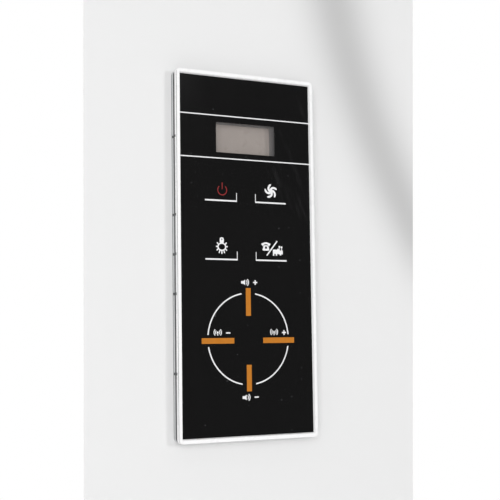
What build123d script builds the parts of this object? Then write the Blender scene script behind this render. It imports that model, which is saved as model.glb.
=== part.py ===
"""Wall control panel for a shower cabin: a clip-on front unit with a small display and eight
press keys, on a rear case that is clamped into a cut-out in the cabin wall.

Frame: X to the right, Y into the wall, Z up, in millimetres. The origin is the middle of the
panel on the wall's front surface, so the front unit is at negative Y and the case at positive Y.
"""

import os

from build123d import *

# Panel face
PANEL_WIDTH = 89.0
PANEL_HEIGHT = 210.0
PANEL_CORNER_RADIUS = 2.5
RIM_WIDTH = 1.85
END_RIM_WIDTH = 2.1
RIM_SLOPE_WIDTH = 0.5
RIM_EDGE_RADIUS = 0.15
BEZEL_DEPTH = 3.05
GROOVE_LAND = 0.05
GROOVE_WIDTH = 0.7
GROOVE_DEPTH = 0.5
OVERLAY_THICKNESS = 0.5
OVERLAY_DROP = 1.25
OVERLAY_GAP = 0.05
PRINT_THICKNESS = 0.08

# Layers between the front unit and the wall
SEAM_DEPTH = 3.3
SEAM_SETBACK = 0.6
SEAL_LAND = 1.0
FLANGE_THICKNESS = 1.5
FLANGE_STEP = 0.5
WALL_SEAL_THICKNESS = 0.7
WALL_SEAL_SETBACK = 0.1
WALL_SEAL_CLEARANCE = 0.6

# Rear case: the flange overhangs it all round, to cover the cut-out's edge
SIDE_OVERHANG = 6.5
END_OVERHANG = 10.0
CASE_DEPTH = 24.0
CASE_WALL = 2.0
CASE_CORNER_RADIUS = 5.0

# Release notches and the clip tongues behind them, at steps of one pitch on both long sides
CLIP_PITCH = 22.2
CLIP_STEPS = (-3, -1, 0, 1, 3)
NOTCH_WIDTH = 1.5
NOTCH_DEPTH = 1.0
BEZEL_NOTCH_DEPTH = 0.4
BEZEL_NOTCH_RISE = 1.4
TONGUE_WIDTH = 4.0
TONGUE_THICKNESS = 1.4
TONGUE_REACH = 9.0
TONGUE_GAP = 0.2

# Wall clamps: a countersunk screw, a nut that it draws and a dog that swings out on the nut
CLAMP_INSET = 4.5
CLAMP_CLEARANCE = 0.3
CLAMP_CLIP_GAP = 0.5
CLAMPED_WALL = 5.0
SCREW_RADIUS = 2.0
SCREW_HEAD_FLARE = 2.0
SCREW_HOLE_GAP = 0.2
COUNTERSINK_LAND = 0.4
SCREW_OVERHANG = 1.0
SCREW_SLOT_WIDTH = 0.9
SCREW_SLOT_LENGTH = 4.6
SCREW_SLOT_DEPTH = 0.8
NUT_WALL = 0.95
NUT_FLANGE_LIP = 0.8
NUT_FLANGE_THICKNESS = 1.0
NUT_BORE_GAP = 0.05
DOG_BORE_GAP = 0.05
DOG_REACH = 11.0
DOG_WIDTH = 7.0
DOG_THICKNESS = 6.0
DOG_TOOTH_HEIGHT = 0.8
DOG_TOOTH_WIDTH = 1.2
DOG_TOOTH_COUNT = 3
DOG_CHEEK = 0.1

# Cable inlet in the case's back
INLET_HEIGHT = -70.0
INLET_BORE_RADIUS = 3.0
GROMMET_WALL = 2.0
GROMMET_LIP = 2.0
GROMMET_FLANGE_THICKNESS = 2.0
GROMMET_FIT_GAP = 0.05

# Display
DISPLAY_X = -0.4
DISPLAY_HEIGHT = 67.5
WINDOW_WIDTH = 38.2
WINDOW_HEIGHT = 17.4
WINDOW_DEPTH = 6.5
LENS_GAP = 0.05
SHROUD_WALL = 3.0
SHROUD_GAP = 0.3
GLASS_MARGIN = 2.4
GLASS_THICKNESS = 2.1
BACKLIGHT_THICKNESS = 2.2
CONTACT_STRIP_WIDTH = 2.0
CONTACT_STRIP_GAP = 0.3

# Keys: name, across and up, the middle of each printed sign or bar
SIGN_KEY_X = 16.2
UPPER_KEY_HEIGHT = 38.0
LOWER_KEY_HEIGHT = 5.0
RING_HEIGHT = -47.6
BAR_HEIGHT = -48.6
SIDE_BAR_X = 19.6
TOP_BAR_HEIGHT = -26.6
BOTTOM_BAR_HEIGHT = -69.9
KEYS = {
    "power": (-SIGN_KEY_X, UPPER_KEY_HEIGHT),
    "fan": (SIGN_KEY_X, UPPER_KEY_HEIGHT),
    "lamp": (-SIGN_KEY_X, LOWER_KEY_HEIGHT),
    "phone": (SIGN_KEY_X, LOWER_KEY_HEIGHT),
    "volume_up": (0.0, TOP_BAR_HEIGHT),
    "volume_down": (0.0, BOTTOM_BAR_HEIGHT),
    "tune_down": (-SIDE_BAR_X, BAR_HEIGHT),
    "tune_up": (SIDE_BAR_X, BAR_HEIGHT),
}
KEY_RADIUS = 5.0
KEY_GAP = 0.25
KEY_LIP = 1.0
KEY_LIP_THICKNESS = 0.8
KEY_STEM_RADIUS = 2.5
KEY_REST_GAP = 0.05
KEY_TRAVEL = 0.3

# Tact switches under the keys
SWITCH_SIZE = 6.0
SWITCH_BODY_HEIGHT = 3.5
SWITCH_FLOOR = 0.4
SWITCH_LEG_WIDTH = 0.7
SWITCH_LEG_THICKNESS = 0.3
SWITCH_LEG_LENGTH = 1.2
PLUNGER_RADIUS = 1.75
PLUNGER_GAP = 0.08

# Circuit board and what is soldered to its back
BOARD_THICKNESS = 1.6
BOARD_EDGE_GAP = 0.6
BOARD_CORNER_RADIUS = 2.0
BOARD_SCREW_INSET = 6.0
MIDDLE_SCREW_HEIGHT = 10.0
POST_WALL = 1.75
PILOT_GAP = 0.05
PILOT_RUNOUT = 0.8
BOARD_SCREW_RADIUS = 1.2
BOARD_SCREW_LENGTH = 6.5
BOARD_SCREW_HEAD_RADIUS = 2.4
BOARD_SCREW_HEAD_HEIGHT = 1.8
BOARD_SCREW_SLOT_DEPTH = 0.9
BOARD_SCREW_SLOT_WIDTH = 0.6
BOARD_SCREW_SLOT_LENGTH = 2.8
CHIP_SIZE = 10.0
CHIP_HEIGHT = 1.6
CHIP_STANDOFF = 0.3
CHIP_X = -4.0
CHIP_UP = 18.0
CHIP_LEAD_COUNT = 8
CHIP_LEAD_WIDTH = 0.4
CHIP_LEAD_REACH = 1.2
CRYSTAL_LENGTH = 11.0
CRYSTAL_WIDTH = 4.6
CRYSTAL_HEIGHT = 3.5
CRYSTAL_END_FLAT = 0.1
CRYSTAL_X = -14.0
CRYSTAL_UP = 28.0
BUZZER_RADIUS = 6.0
BUZZER_HEIGHT = 8.0
BUZZER_PORT_RADIUS = 1.0
BUZZER_PORT_DEPTH = 1.5
BUZZER_X = 12.0
BUZZER_UP = -16.0
CAPACITOR_RADIUS = 3.15
CAPACITOR_HEIGHT = 8.0
CAPACITOR_EDGE_RADIUS = 0.5
CAPACITOR_X = 14.0
CAPACITOR_HEIGHTS = (18.0, 27.0)
REGULATOR_WIDTH = 6.5
REGULATOR_HEIGHT = 3.5
REGULATOR_DEPTH = 1.6
REGULATOR_X = 2.0
REGULATOR_UP = 31.0
HEADER_WAYS = 6
HEADER_PITCH = 2.5
HEADER_END = 2.5
HEADER_WIDTH = 6.0
HEADER_DEPTH = 7.0
HEADER_WALL = 0.9
HEADER_FLOOR = 2.0
HEADER_UP = -30.0
HEADER_PIN_SIZE = 0.64
HEADER_PIN_LENGTH = 5.5

# White and orange print on the overlay
RULE_WIDTH = 0.62
UPPER_RULE_HEIGHT = 80.0
LOWER_RULE_HEIGHT = 55.4
BRACKETS_X = -0.65
BRACKET_LENGTH = 20.4
BRACKET_RISE = 4.7
BRACKET_WIDTH = 0.85
BRACKET_POST_WIDTH = 0.4
BRACKET_INNER_X = 5.95
UPPER_BRACKET_HEIGHT = 31.1
LOWER_BRACKET_HEIGHT = -2.5
RING_RADIUS = 26.0
RING_WIDTH = 0.74
RING_TOP_GAP = 8.8
RING_SIDE_GAP = 6.8
BAR_WIDTH = 3.15
SIDE_BAR_LENGTH = 20.5
TOP_BAR_LENGTH = 15.9
BOTTOM_BAR_LENGTH = 15.0

# Depths along Y, from the wall's front surface outwards and then inwards
flange_back = -WALL_SEAL_THICKNESS
flange_front = flange_back - FLANGE_THICKNESS
bezel_back = flange_front - SEAM_DEPTH
bezel_front = bezel_back - BEZEL_DEPTH
groove_front = bezel_front + RIM_EDGE_RADIUS + GROOVE_LAND
overlay_front = bezel_front + OVERLAY_DROP
overlay_back = overlay_front + OVERLAY_THICKNESS
print_front = overlay_front - PRINT_THICKNESS
glass_front = overlay_front + WINDOW_DEPTH
glass_back = glass_front + GLASS_THICKNESS
board_front = glass_back + BACKLIGHT_THICKNESS
board_back = board_front + BOARD_THICKNESS
case_floor = CASE_DEPTH - CASE_WALL
switch_front = board_front - SWITCH_BODY_HEIGHT
key_lip_front = bezel_back + KEY_REST_GAP
key_lip_back = key_lip_front + KEY_LIP_THICKNESS
plunger_front = (key_lip_back + switch_front) / 2
plunger_back = board_front - SWITCH_FLOOR - 2 * KEY_TRAVEL

# Outlines shared by several pieces
case_width = PANEL_WIDTH - 2 * SIDE_OVERHANG
case_height = PANEL_HEIGHT - 2 * END_OVERHANG
rim_opening_width = PANEL_WIDTH - 2 * RIM_WIDTH
rim_opening_height = PANEL_HEIGHT - 2 * END_RIM_WIDTH
field_width = rim_opening_width - 2 * RIM_SLOPE_WIDTH
field_height = rim_opening_height - 2 * RIM_SLOPE_WIDTH
shroud_width = WINDOW_WIDTH + 2 * SHROUD_WALL
shroud_height = WINDOW_HEIGHT + 2 * SHROUD_WALL
glass_width = WINDOW_WIDTH + 2 * GLASS_MARGIN
glass_height = WINDOW_HEIGHT + 2 * GLASS_MARGIN
cavity_width = case_width - 2 * CASE_WALL
cavity_height = case_height - 2 * CASE_WALL
cavity_corner_radius = CASE_CORNER_RADIUS - CASE_WALL
tongue_x = cavity_width / 2 - TONGUE_GAP - TONGUE_THICKNESS / 2
board_width = 2 * (tongue_x - TONGUE_THICKNESS / 2 - BOARD_EDGE_GAP)
board_height = cavity_height - 2 * BOARD_EDGE_GAP
board_screw_x = board_width / 2 - BOARD_SCREW_INSET
board_end_up = board_height / 2 - BOARD_SCREW_INSET
board_screw_heights = (-board_end_up, MIDDLE_SCREW_HEIGHT, board_end_up)
pilot_radius = BOARD_SCREW_RADIUS + PILOT_GAP
pilot_front = board_back - BOARD_SCREW_LENGTH - PILOT_RUNOUT
clip_heights = [step * CLIP_PITCH for step in CLIP_STEPS]
grommet_neck = INLET_BORE_RADIUS + GROMMET_WALL

# Clamp places: the dog's hub just clears the pocket that it turns in
clamp_x = case_width / 2 - CLAMP_INSET
dog_hub_radius = CLAMP_INSET - CLAMP_CLEARANCE
heel_sweep = dog_hub_radius * 2**0.5
dog_sweep = (DOG_REACH**2 + (DOG_WIDTH / 2) ** 2) ** 0.5
pocket_depth = 2 * CLAMP_INSET
pocket_below = heel_sweep + CLAMP_CLEARANCE
pocket_above = dog_sweep + CLAMP_CLEARANCE
pocket_start = CLIP_PITCH + TONGUE_WIDTH / 2 + CLAMP_CLIP_GAP + CASE_WALL
upper_clamp_up = pocket_start + pocket_below
lower_clamp_up = -pocket_start - pocket_above
screw_hole_radius = SCREW_RADIUS + SCREW_HOLE_GAP
screw_head_radius = SCREW_RADIUS + SCREW_HEAD_FLARE
screw_head_back = flange_back - COUNTERSINK_LAND
nut_bore = SCREW_RADIUS + NUT_BORE_GAP
nut_radius = nut_bore + NUT_WALL
dog_front = CLAMPED_WALL
dog_back = dog_front + DOG_THICKNESS
CLAMPS = {
    "upper_left": (-1, upper_clamp_up),
    "upper_right": (1, upper_clamp_up),
    "lower_left": (-1, lower_clamp_up),
    "lower_right": (1, lower_clamp_up),
}


def slab(outline, front, back):
    """A prism of an outline drawn across (X) and up (Z), from one depth to another."""
    return extrude(Plane.XZ.offset(-back) * outline, amount=back - front)


def block(width, height, front, back, x=0.0, up=0.0):
    """A plain rectangular slab centred at x, up."""
    return slab(Pos(x, up) * Rectangle(width, height), front, back)


def disc(radius, front, back, x=0.0, up=0.0):
    """A round slab on an axis along Y at x, up."""
    return slab(Pos(x, up) * Circle(radius), front, back)


def turned(profile, x, up):
    """A turned piece on an axis along Y at x, up, from (radius, depth) points."""
    section = make_face(Polyline(*profile, close=True))
    return Pos(x, 0, up) * revolve(section, Axis.Y)


def cross_recess(length, width, front, back, x, up):
    """The cross-shaped driver recess of a screw head."""
    return block(length, width, front, back, x, up) + block(width, length, front, back, x, up)


def pocket_outlines(margin):
    """The four clamp pockets, cut in from the case's long sides and grown by a margin."""
    pockets = []
    for side, height in CLAMPS.values():
        low = height - pocket_below - margin
        high = height + pocket_above + margin
        depth = pocket_depth + margin
        middle = case_width / 2 - depth / 2
        pockets.append(Pos(side * middle, (low + high) / 2) * Rectangle(depth, high - low))
    return pockets


def case_outline():
    """The case behind the wall, with its clamp pockets."""
    return RectangleRounded(case_width, case_height, CASE_CORNER_RADIUS) - pocket_outlines(0.0)


def cavity_outline():
    """The inside of the case."""
    outline = RectangleRounded(cavity_width, cavity_height, cavity_corner_radius)
    return outline - pocket_outlines(CASE_WALL)


def make_rear_case():
    """Flange and tub in one moulding, with clamp holes, cable hole and release notches."""
    flange_width = PANEL_WIDTH - 2 * FLANGE_STEP
    flange_height = PANEL_HEIGHT - 2 * FLANGE_STEP
    flange = RectangleRounded(flange_width, flange_height, PANEL_CORNER_RADIUS)
    case = slab(flange, flange_front, flange_back) + slab(case_outline(), flange_back, CASE_DEPTH)
    case -= slab(cavity_outline(), flange_front, case_floor)
    case -= disc(grommet_neck, case_floor, CASE_DEPTH, up=INLET_HEIGHT)
    for side, height in CLAMPS.values():
        hole = [
            (0, flange_front),
            (screw_head_radius + SCREW_HOLE_GAP, flange_front),
            (screw_hole_radius, screw_head_back),
            (screw_hole_radius, flange_back),
            (0, flange_back),
        ]
        case -= turned(hole, side * clamp_x, height)
    for side in (-1, 1):
        for height in clip_heights:
            x = side * (flange_width - NOTCH_DEPTH) / 2
            case -= block(NOTCH_DEPTH, NOTCH_WIDTH, flange_front, flange_back, x, height)
    return case


def make_cable_grommet():
    """Rubber grommet with a groove that holds the case's back, and a bore for the cable."""
    flange = grommet_neck + GROMMET_LIP
    neck = grommet_neck - GROMMET_FIT_GAP
    front = case_floor - GROMMET_FLANGE_THICKNESS
    back = CASE_DEPTH + GROMMET_FLANGE_THICKNESS
    profile = [
        (INLET_BORE_RADIUS, front),
        (flange, front),
        (flange, case_floor),
        (neck, case_floor),
        (neck, CASE_DEPTH),
        (flange, CASE_DEPTH),
        (neck, back),
        (INLET_BORE_RADIUS, back),
    ]
    return turned(profile, 0.0, INLET_HEIGHT)


def make_case_seal():
    """Dark rubber seal in the seam between the front unit and the case's flange."""
    outer_width = PANEL_WIDTH - 2 * SEAM_SETBACK
    outer_height = PANEL_HEIGHT - 2 * SEAM_SETBACK
    ring = RectangleRounded(outer_width, outer_height, PANEL_CORNER_RADIUS)
    inner_width = cavity_width + 2 * SEAL_LAND
    inner_height = cavity_height + 2 * SEAL_LAND
    ring -= RectangleRounded(inner_width, inner_height, cavity_corner_radius)
    return slab(ring, bezel_back, flange_front)


def make_wall_seal():
    """Foam seal between the flange and the wall, round the cut-out."""
    inset = FLANGE_STEP + WALL_SEAL_SETBACK
    outer = RectangleRounded(PANEL_WIDTH - 2 * inset, PANEL_HEIGHT - 2 * inset, PANEL_CORNER_RADIUS)
    hole_width = case_width + 2 * WALL_SEAL_CLEARANCE
    hole_height = case_height + 2 * WALL_SEAL_CLEARANCE
    hole = RectangleRounded(hole_width, hole_height, CASE_CORNER_RADIUS)
    return slab(outer - hole, flange_back, 0.0)


def make_clamp_screw(x, up):
    """Countersunk screw with a cross recess, from the flange's front to behind the case."""
    profile = [
        (0, flange_front),
        (screw_head_radius, flange_front),
        (SCREW_RADIUS, screw_head_back),
        (SCREW_RADIUS, CASE_DEPTH + SCREW_OVERHANG),
        (0, CASE_DEPTH + SCREW_OVERHANG),
    ]
    recess_back = flange_front + SCREW_SLOT_DEPTH
    recess = cross_recess(SCREW_SLOT_LENGTH, SCREW_SLOT_WIDTH, flange_front, recess_back, x, up)
    return turned(profile, x, up) - recess


def make_clamp_nut(x, up):
    """Flanged brass nut in the dog, drawn along by the screw."""
    front = dog_front + DOG_TOOTH_HEIGHT
    shoulder = dog_back + DOG_CHEEK
    back = shoulder + NUT_FLANGE_THICKNESS
    flange = nut_radius + NUT_FLANGE_LIP
    profile = [
        (nut_bore, front),
        (nut_radius, front),
        (nut_radius, shoulder),
        (flange, shoulder),
        (flange, back),
        (nut_bore, back),
    ]
    return turned(profile, x, up)


def make_clamp_dog(side, up):
    """Dog that grips the wall's back: a round hub, an arm, a square heel that stops it, and teeth."""
    x = side * clamp_x
    hub = dog_hub_radius
    outline = Pos(x, up) * Circle(hub)
    outline += Pos(x + side * DOG_REACH / 2, up) * Rectangle(DOG_REACH, DOG_WIDTH)
    outline += Pos(x - side * hub / 2, up - hub / 2) * Rectangle(hub, hub)
    dog = slab(outline, dog_front + DOG_TOOTH_HEIGHT, dog_back)
    pitch = 2 * DOG_TOOTH_WIDTH
    for index in range(DOG_TOOTH_COUNT):
        reach = DOG_REACH - DOG_TOOTH_WIDTH / 2 - index * pitch
        tooth_back = dog_front + DOG_TOOTH_HEIGHT
        dog += block(DOG_TOOTH_WIDTH, DOG_WIDTH, dog_front, tooth_back, x + side * reach, up)
    return dog - disc(nut_radius + DOG_BORE_GAP, dog_front, dog_back, x, up)


def make_front_bezel():
    """White front moulding: sloped rim, recess for the overlay, side groove, aperture and key holes."""
    outline = RectangleRounded(PANEL_WIDTH, PANEL_HEIGHT, PANEL_CORNER_RADIUS)
    bezel = slab(outline, bezel_front, bezel_back)
    bezel = fillet(bezel.faces().sort_by(Axis.Y)[0].edges(), RIM_EDGE_RADIUS)
    rim_opening = Plane.XZ.offset(-bezel_front) * Rectangle(rim_opening_width, rim_opening_height)
    field = Plane.XZ.offset(-overlay_front) * Rectangle(field_width, field_height)
    bezel -= loft([rim_opening, field])
    bezel -= block(field_width, field_height, overlay_front, overlay_back)
    neck_width = PANEL_WIDTH - 2 * GROOVE_DEPTH
    neck_height = PANEL_HEIGHT - 2 * GROOVE_DEPTH
    neck = RectangleRounded(neck_width, neck_height, PANEL_CORNER_RADIUS - GROOVE_DEPTH)
    bezel -= slab(outline - neck, groove_front, groove_front + GROOVE_WIDTH)
    aperture_width = shroud_width + 2 * SHROUD_GAP
    aperture_height = shroud_height + 2 * SHROUD_GAP
    bezel -= block(
        aperture_width, aperture_height, overlay_back, bezel_back, DISPLAY_X, DISPLAY_HEIGHT
    )
    for x, up in KEYS.values():
        bezel -= disc(KEY_RADIUS + KEY_GAP, overlay_back, bezel_back, x, up)
    notch_x = (PANEL_WIDTH - BEZEL_NOTCH_DEPTH) / 2
    notch_front = bezel_back - BEZEL_NOTCH_RISE
    for side in (-1, 1):
        for height in clip_heights:
            x = side * notch_x
            bezel -= block(BEZEL_NOTCH_DEPTH, NOTCH_WIDTH, notch_front, bezel_back, x, height)
    return bezel


def make_clip_tongues():
    """Tongues behind the bezel that hold the front unit inside the case's long walls."""
    back = bezel_back + TONGUE_REACH
    tongues = []
    for x in (-tongue_x, tongue_x):
        for height in clip_heights:
            tongues.append(block(TONGUE_THICKNESS, TONGUE_WIDTH, bezel_back, back, x, height))
    return Compound(tongues)


def make_board_posts():
    """Posts behind the bezel that carry the board, each with a pilot hole for its screw."""
    posts = []
    for x in (-board_screw_x, board_screw_x):
        for height in board_screw_heights:
            post = disc(pilot_radius + POST_WALL, bezel_back, board_front, x, height)
            posts.append(post - disc(pilot_radius, pilot_front, board_front, x, height))
    return Compound(posts)


def make_face_overlay():
    """Glossy black sheet in the bezel's recess, with the display window cut out."""
    sheet = Rectangle(field_width - 2 * OVERLAY_GAP, field_height - 2 * OVERLAY_GAP)
    sheet -= Pos(DISPLAY_X, DISPLAY_HEIGHT) * Rectangle(WINDOW_WIDTH, WINDOW_HEIGHT)
    return slab(sheet, overlay_front, overlay_back)


def make_display_lens():
    """Clear window that fills the opening in the overlay."""
    width = WINDOW_WIDTH - 2 * LENS_GAP
    height = WINDOW_HEIGHT - 2 * LENS_GAP
    return block(width, height, overlay_front, overlay_back, DISPLAY_X, DISPLAY_HEIGHT)


def make_display_shroud():
    """Grey frame from the overlay back to the display glass: the walls seen through the window."""
    frame = Rectangle(shroud_width, shroud_height) - Rectangle(WINDOW_WIDTH, WINDOW_HEIGHT)
    return slab(Pos(DISPLAY_X, DISPLAY_HEIGHT) * frame, overlay_back, glass_front)


def make_display_glass():
    """Liquid crystal glass behind the shroud."""
    return block(glass_width, glass_height, glass_front, glass_back, DISPLAY_X, DISPLAY_HEIGHT)


def make_display_backlight():
    """Light guide between the two contact strips, on the board."""
    height = glass_height - 2 * (CONTACT_STRIP_WIDTH + CONTACT_STRIP_GAP)
    return block(glass_width, height, glass_back, board_front, DISPLAY_X, DISPLAY_HEIGHT)


def make_contact_strips():
    """Elastic contact strips along the glass's upper and lower edges."""
    strips = []
    for side in (-1, 1):
        up = DISPLAY_HEIGHT + side * (glass_height - CONTACT_STRIP_WIDTH) / 2
        strips.append(
            block(WINDOW_WIDTH, CONTACT_STRIP_WIDTH, glass_back, board_front, DISPLAY_X, up)
        )
    return Compound(strips)


def make_white_print():
    """White lines on the overlay: two rules, four key brackets and the broken ring."""
    lines = []
    rule_length = field_width - 2 * OVERLAY_GAP
    for height in (UPPER_RULE_HEIGHT, LOWER_RULE_HEIGHT):
        lines.append(block(rule_length, RULE_WIDTH, print_front, overlay_front, 0.0, height))
    for side in (-1, 1):
        for height in (UPPER_BRACKET_HEIGHT, LOWER_BRACKET_HEIGHT):
            foot_x = BRACKETS_X + side * (BRACKET_INNER_X + BRACKET_LENGTH / 2)
            post_x = BRACKETS_X + side * (BRACKET_INNER_X + BRACKET_POST_WIDTH / 2)
            post_up = height + BRACKET_RISE / 2
            bracket = Pos(foot_x, height) * Rectangle(BRACKET_LENGTH, BRACKET_WIDTH)
            bracket += Pos(post_x, post_up) * Rectangle(BRACKET_POST_WIDTH, BRACKET_RISE)
            lines.append(slab(bracket, print_front, overlay_front))
    outer = RING_RADIUS + RING_WIDTH / 2
    ring = Circle(outer) - Circle(outer - RING_WIDTH)
    ring -= Rectangle(RING_TOP_GAP, 3 * RING_RADIUS)
    ring -= Pos(0, BAR_HEIGHT - RING_HEIGHT) * Rectangle(3 * RING_RADIUS, RING_SIDE_GAP)
    for arc in (Pos(0, RING_HEIGHT) * ring).faces():
        lines.append(slab(arc, print_front, overlay_front))
    return Compound(lines)


def make_orange_print():
    """Four orange bars that mark the volume and tuning keys."""
    bars = [
        block(BAR_WIDTH, TOP_BAR_LENGTH, print_front, overlay_front, 0.0, TOP_BAR_HEIGHT),
        block(BAR_WIDTH, BOTTOM_BAR_LENGTH, print_front, overlay_front, 0.0, BOTTOM_BAR_HEIGHT),
    ]
    for side in (-1, 1):
        x = side * SIDE_BAR_X
        bars.append(block(SIDE_BAR_LENGTH, BAR_WIDTH, print_front, overlay_front, x, BAR_HEIGHT))
    return Compound(bars)


def make_key(x, up):
    """Key behind the overlay: a cap in the bezel's hole, a lip that keeps it in, and a stem."""
    cap_front = overlay_back + KEY_REST_GAP
    profile = [
        (0, cap_front),
        (KEY_RADIUS, cap_front),
        (KEY_RADIUS, key_lip_front),
        (KEY_RADIUS + KEY_LIP, key_lip_front),
        (KEY_RADIUS + KEY_LIP, key_lip_back),
        (KEY_STEM_RADIUS, key_lip_back),
        (KEY_STEM_RADIUS, plunger_front),
        (0, plunger_front),
    ]
    return turned(profile, x, up)


def make_plunger(x, up):
    """Plunger of a tact switch, which the key pushes."""
    return disc(PLUNGER_RADIUS, plunger_front, plunger_back, x, up)


def make_switch_bodies():
    """Tact switch housings on the board, each with a blind hole for its plunger and four legs."""
    bodies = []
    leg_x = (SWITCH_SIZE + SWITCH_LEG_THICKNESS) / 2
    for x, up in KEYS.values():
        body = block(SWITCH_SIZE, SWITCH_SIZE, switch_front, board_front, x, up)
        for side in (-1, 1):
            for rise in (-SWITCH_SIZE / 3, SWITCH_SIZE / 3):
                leg_front = board_front - SWITCH_LEG_LENGTH
                body += block(
                    SWITCH_LEG_THICKNESS,
                    SWITCH_LEG_WIDTH,
                    leg_front,
                    board_front,
                    x + side * leg_x,
                    up + rise,
                )
        hole_back = board_front - SWITCH_FLOOR
        bodies.append(body - disc(PLUNGER_RADIUS + PLUNGER_GAP, switch_front, hole_back, x, up))
    return Compound(bodies)


def make_circuit_board():
    """Board with clamp-pocket notches along its sides and holes for its screws."""
    outline = RectangleRounded(board_width, board_height, BOARD_CORNER_RADIUS)
    outline -= pocket_outlines(CASE_WALL + BOARD_EDGE_GAP)
    board = slab(outline, board_front, board_back)
    for x in (-board_screw_x, board_screw_x):
        for height in board_screw_heights:
            board -= disc(pilot_radius, board_front, board_back, x, height)
    return board


def make_board_screws():
    """Pan-head screws that hold the board on its posts."""
    screws = []
    head_back = board_back + BOARD_SCREW_HEAD_HEIGHT
    recess_front = head_back - BOARD_SCREW_SLOT_DEPTH
    tip = board_back - BOARD_SCREW_LENGTH
    length, width = BOARD_SCREW_SLOT_LENGTH, BOARD_SCREW_SLOT_WIDTH
    for x in (-board_screw_x, board_screw_x):
        for height in board_screw_heights:
            screw = disc(BOARD_SCREW_HEAD_RADIUS, board_back, head_back, x, height)
            screw += disc(BOARD_SCREW_RADIUS, tip, board_back, x, height)
            screw -= cross_recess(length, width, recess_front, head_back, x, height)
            screws.append(screw)
    return Compound(screws)


def make_chip():
    """Controller chip: a square body with a row of leads on each side."""
    body_front = board_back + CHIP_STANDOFF
    body_back = body_front + CHIP_HEIGHT
    chip = block(CHIP_SIZE, CHIP_SIZE, body_front, body_back, CHIP_X, CHIP_UP)
    pitch = CHIP_SIZE / (CHIP_LEAD_COUNT + 1)
    reach = (CHIP_SIZE + CHIP_LEAD_REACH) / 2
    foot_back = board_back + CHIP_STANDOFF + CHIP_HEIGHT / 2
    for index in range(CHIP_LEAD_COUNT):
        along = (index + 1) * pitch - CHIP_SIZE / 2
        for side in (-1, 1):
            across = side * reach
            chip += block(
                CHIP_LEAD_REACH, CHIP_LEAD_WIDTH, board_back, foot_back, CHIP_X + across, CHIP_UP + along
            )
            chip += block(
                CHIP_LEAD_WIDTH, CHIP_LEAD_REACH, board_back, foot_back, CHIP_X + along, CHIP_UP + across
            )
    return chip


def make_crystal():
    """Quartz crystal in a flat oval can."""
    radius = (CRYSTAL_WIDTH - CRYSTAL_END_FLAT) / 2
    can = Pos(CRYSTAL_X, CRYSTAL_UP) * RectangleRounded(CRYSTAL_LENGTH, CRYSTAL_WIDTH, radius)
    return slab(can, board_back, board_back + CRYSTAL_HEIGHT)


def make_buzzer():
    """Round sounder with a port in its end."""
    back = board_back + BUZZER_HEIGHT
    buzzer = disc(BUZZER_RADIUS, board_back, back, BUZZER_X, BUZZER_UP)
    return buzzer - disc(BUZZER_PORT_RADIUS, back - BUZZER_PORT_DEPTH, back, BUZZER_X, BUZZER_UP)


def make_capacitors():
    """Two upright electrolytic capacitors with rounded tops."""
    cans = []
    for up in CAPACITOR_HEIGHTS:
        can = disc(CAPACITOR_RADIUS, board_back, board_back + CAPACITOR_HEIGHT, CAPACITOR_X, up)
        cans.append(fillet(can.faces().sort_by(Axis.Y)[-1].edges(), CAPACITOR_EDGE_RADIUS))
    return Compound(cans)


def make_regulator():
    """Voltage regulator package."""
    back = board_back + REGULATOR_DEPTH
    return block(REGULATOR_WIDTH, REGULATOR_HEIGHT, board_back, back, REGULATOR_X, REGULATOR_UP)


def make_cable_header():
    """Socket that takes the control cable's connector, open towards the case's back."""
    length = (HEADER_WAYS - 1) * HEADER_PITCH + 2 * HEADER_END
    back = board_back + HEADER_DEPTH
    header = block(length, HEADER_WIDTH, board_back, back, up=HEADER_UP)
    inner_length = length - 2 * HEADER_WALL
    inner_width = HEADER_WIDTH - 2 * HEADER_WALL
    return header - block(inner_length, inner_width, board_back + HEADER_FLOOR, back, up=HEADER_UP)


def make_header_pins():
    """Contact pins that stand on the socket's floor."""
    pins = []
    front = board_back + HEADER_FLOOR
    reach = HEADER_PIN_LENGTH - HEADER_FLOOR
    for index in range(HEADER_WAYS):
        x = (index - (HEADER_WAYS - 1) / 2) * HEADER_PITCH
        pins.append(block(HEADER_PIN_SIZE, HEADER_PIN_SIZE, front, front + reach, x, HEADER_UP))
    return Compound(pins)


def make_parts():
    """Every node's solid or group of solids, by name."""
    parts = {
        "rear_case": make_rear_case(),
        "cable_grommet": make_cable_grommet(),
        "case_seal": make_case_seal(),
        "wall_seal": make_wall_seal(),
        "front_bezel": make_front_bezel(),
        "clip_tongues": make_clip_tongues(),
        "board_posts": make_board_posts(),
        "face_overlay": make_face_overlay(),
        "display_lens": make_display_lens(),
        "display_shroud": make_display_shroud(),
        "display_glass": make_display_glass(),
        "display_backlight": make_display_backlight(),
        "contact_strips": make_contact_strips(),
        "white_print": make_white_print(),
        "orange_print": make_orange_print(),
        "circuit_board": make_circuit_board(),
        "board_screws": make_board_screws(),
        "switch_bodies": make_switch_bodies(),
        "controller_chip": make_chip(),
        "crystal": make_crystal(),
        "buzzer": make_buzzer(),
        "capacitors": make_capacitors(),
        "voltage_regulator": make_regulator(),
        "cable_header": make_cable_header(),
        "header_pins": make_header_pins(),
    }
    for name, (x, up) in KEYS.items():
        parts[f"{name}_key"] = make_key(x, up)
        parts[f"{name}_plunger"] = make_plunger(x, up)
    for name, (side, up) in CLAMPS.items():
        parts[f"{name}_clamp_nut"] = make_clamp_nut(side * clamp_x, up)
        parts[f"{name}_clamp_dog"] = make_clamp_dog(side, up)
    screws = [make_clamp_screw(side * clamp_x, up) for side, up in CLAMPS.values()]
    parts["clamp_screws"] = Compound(screws)
    return parts


os.makedirs("parts", exist_ok=True)
for part_name, shape in make_parts().items():
    export_step(shape, f"parts/{part_name}.step")
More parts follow.
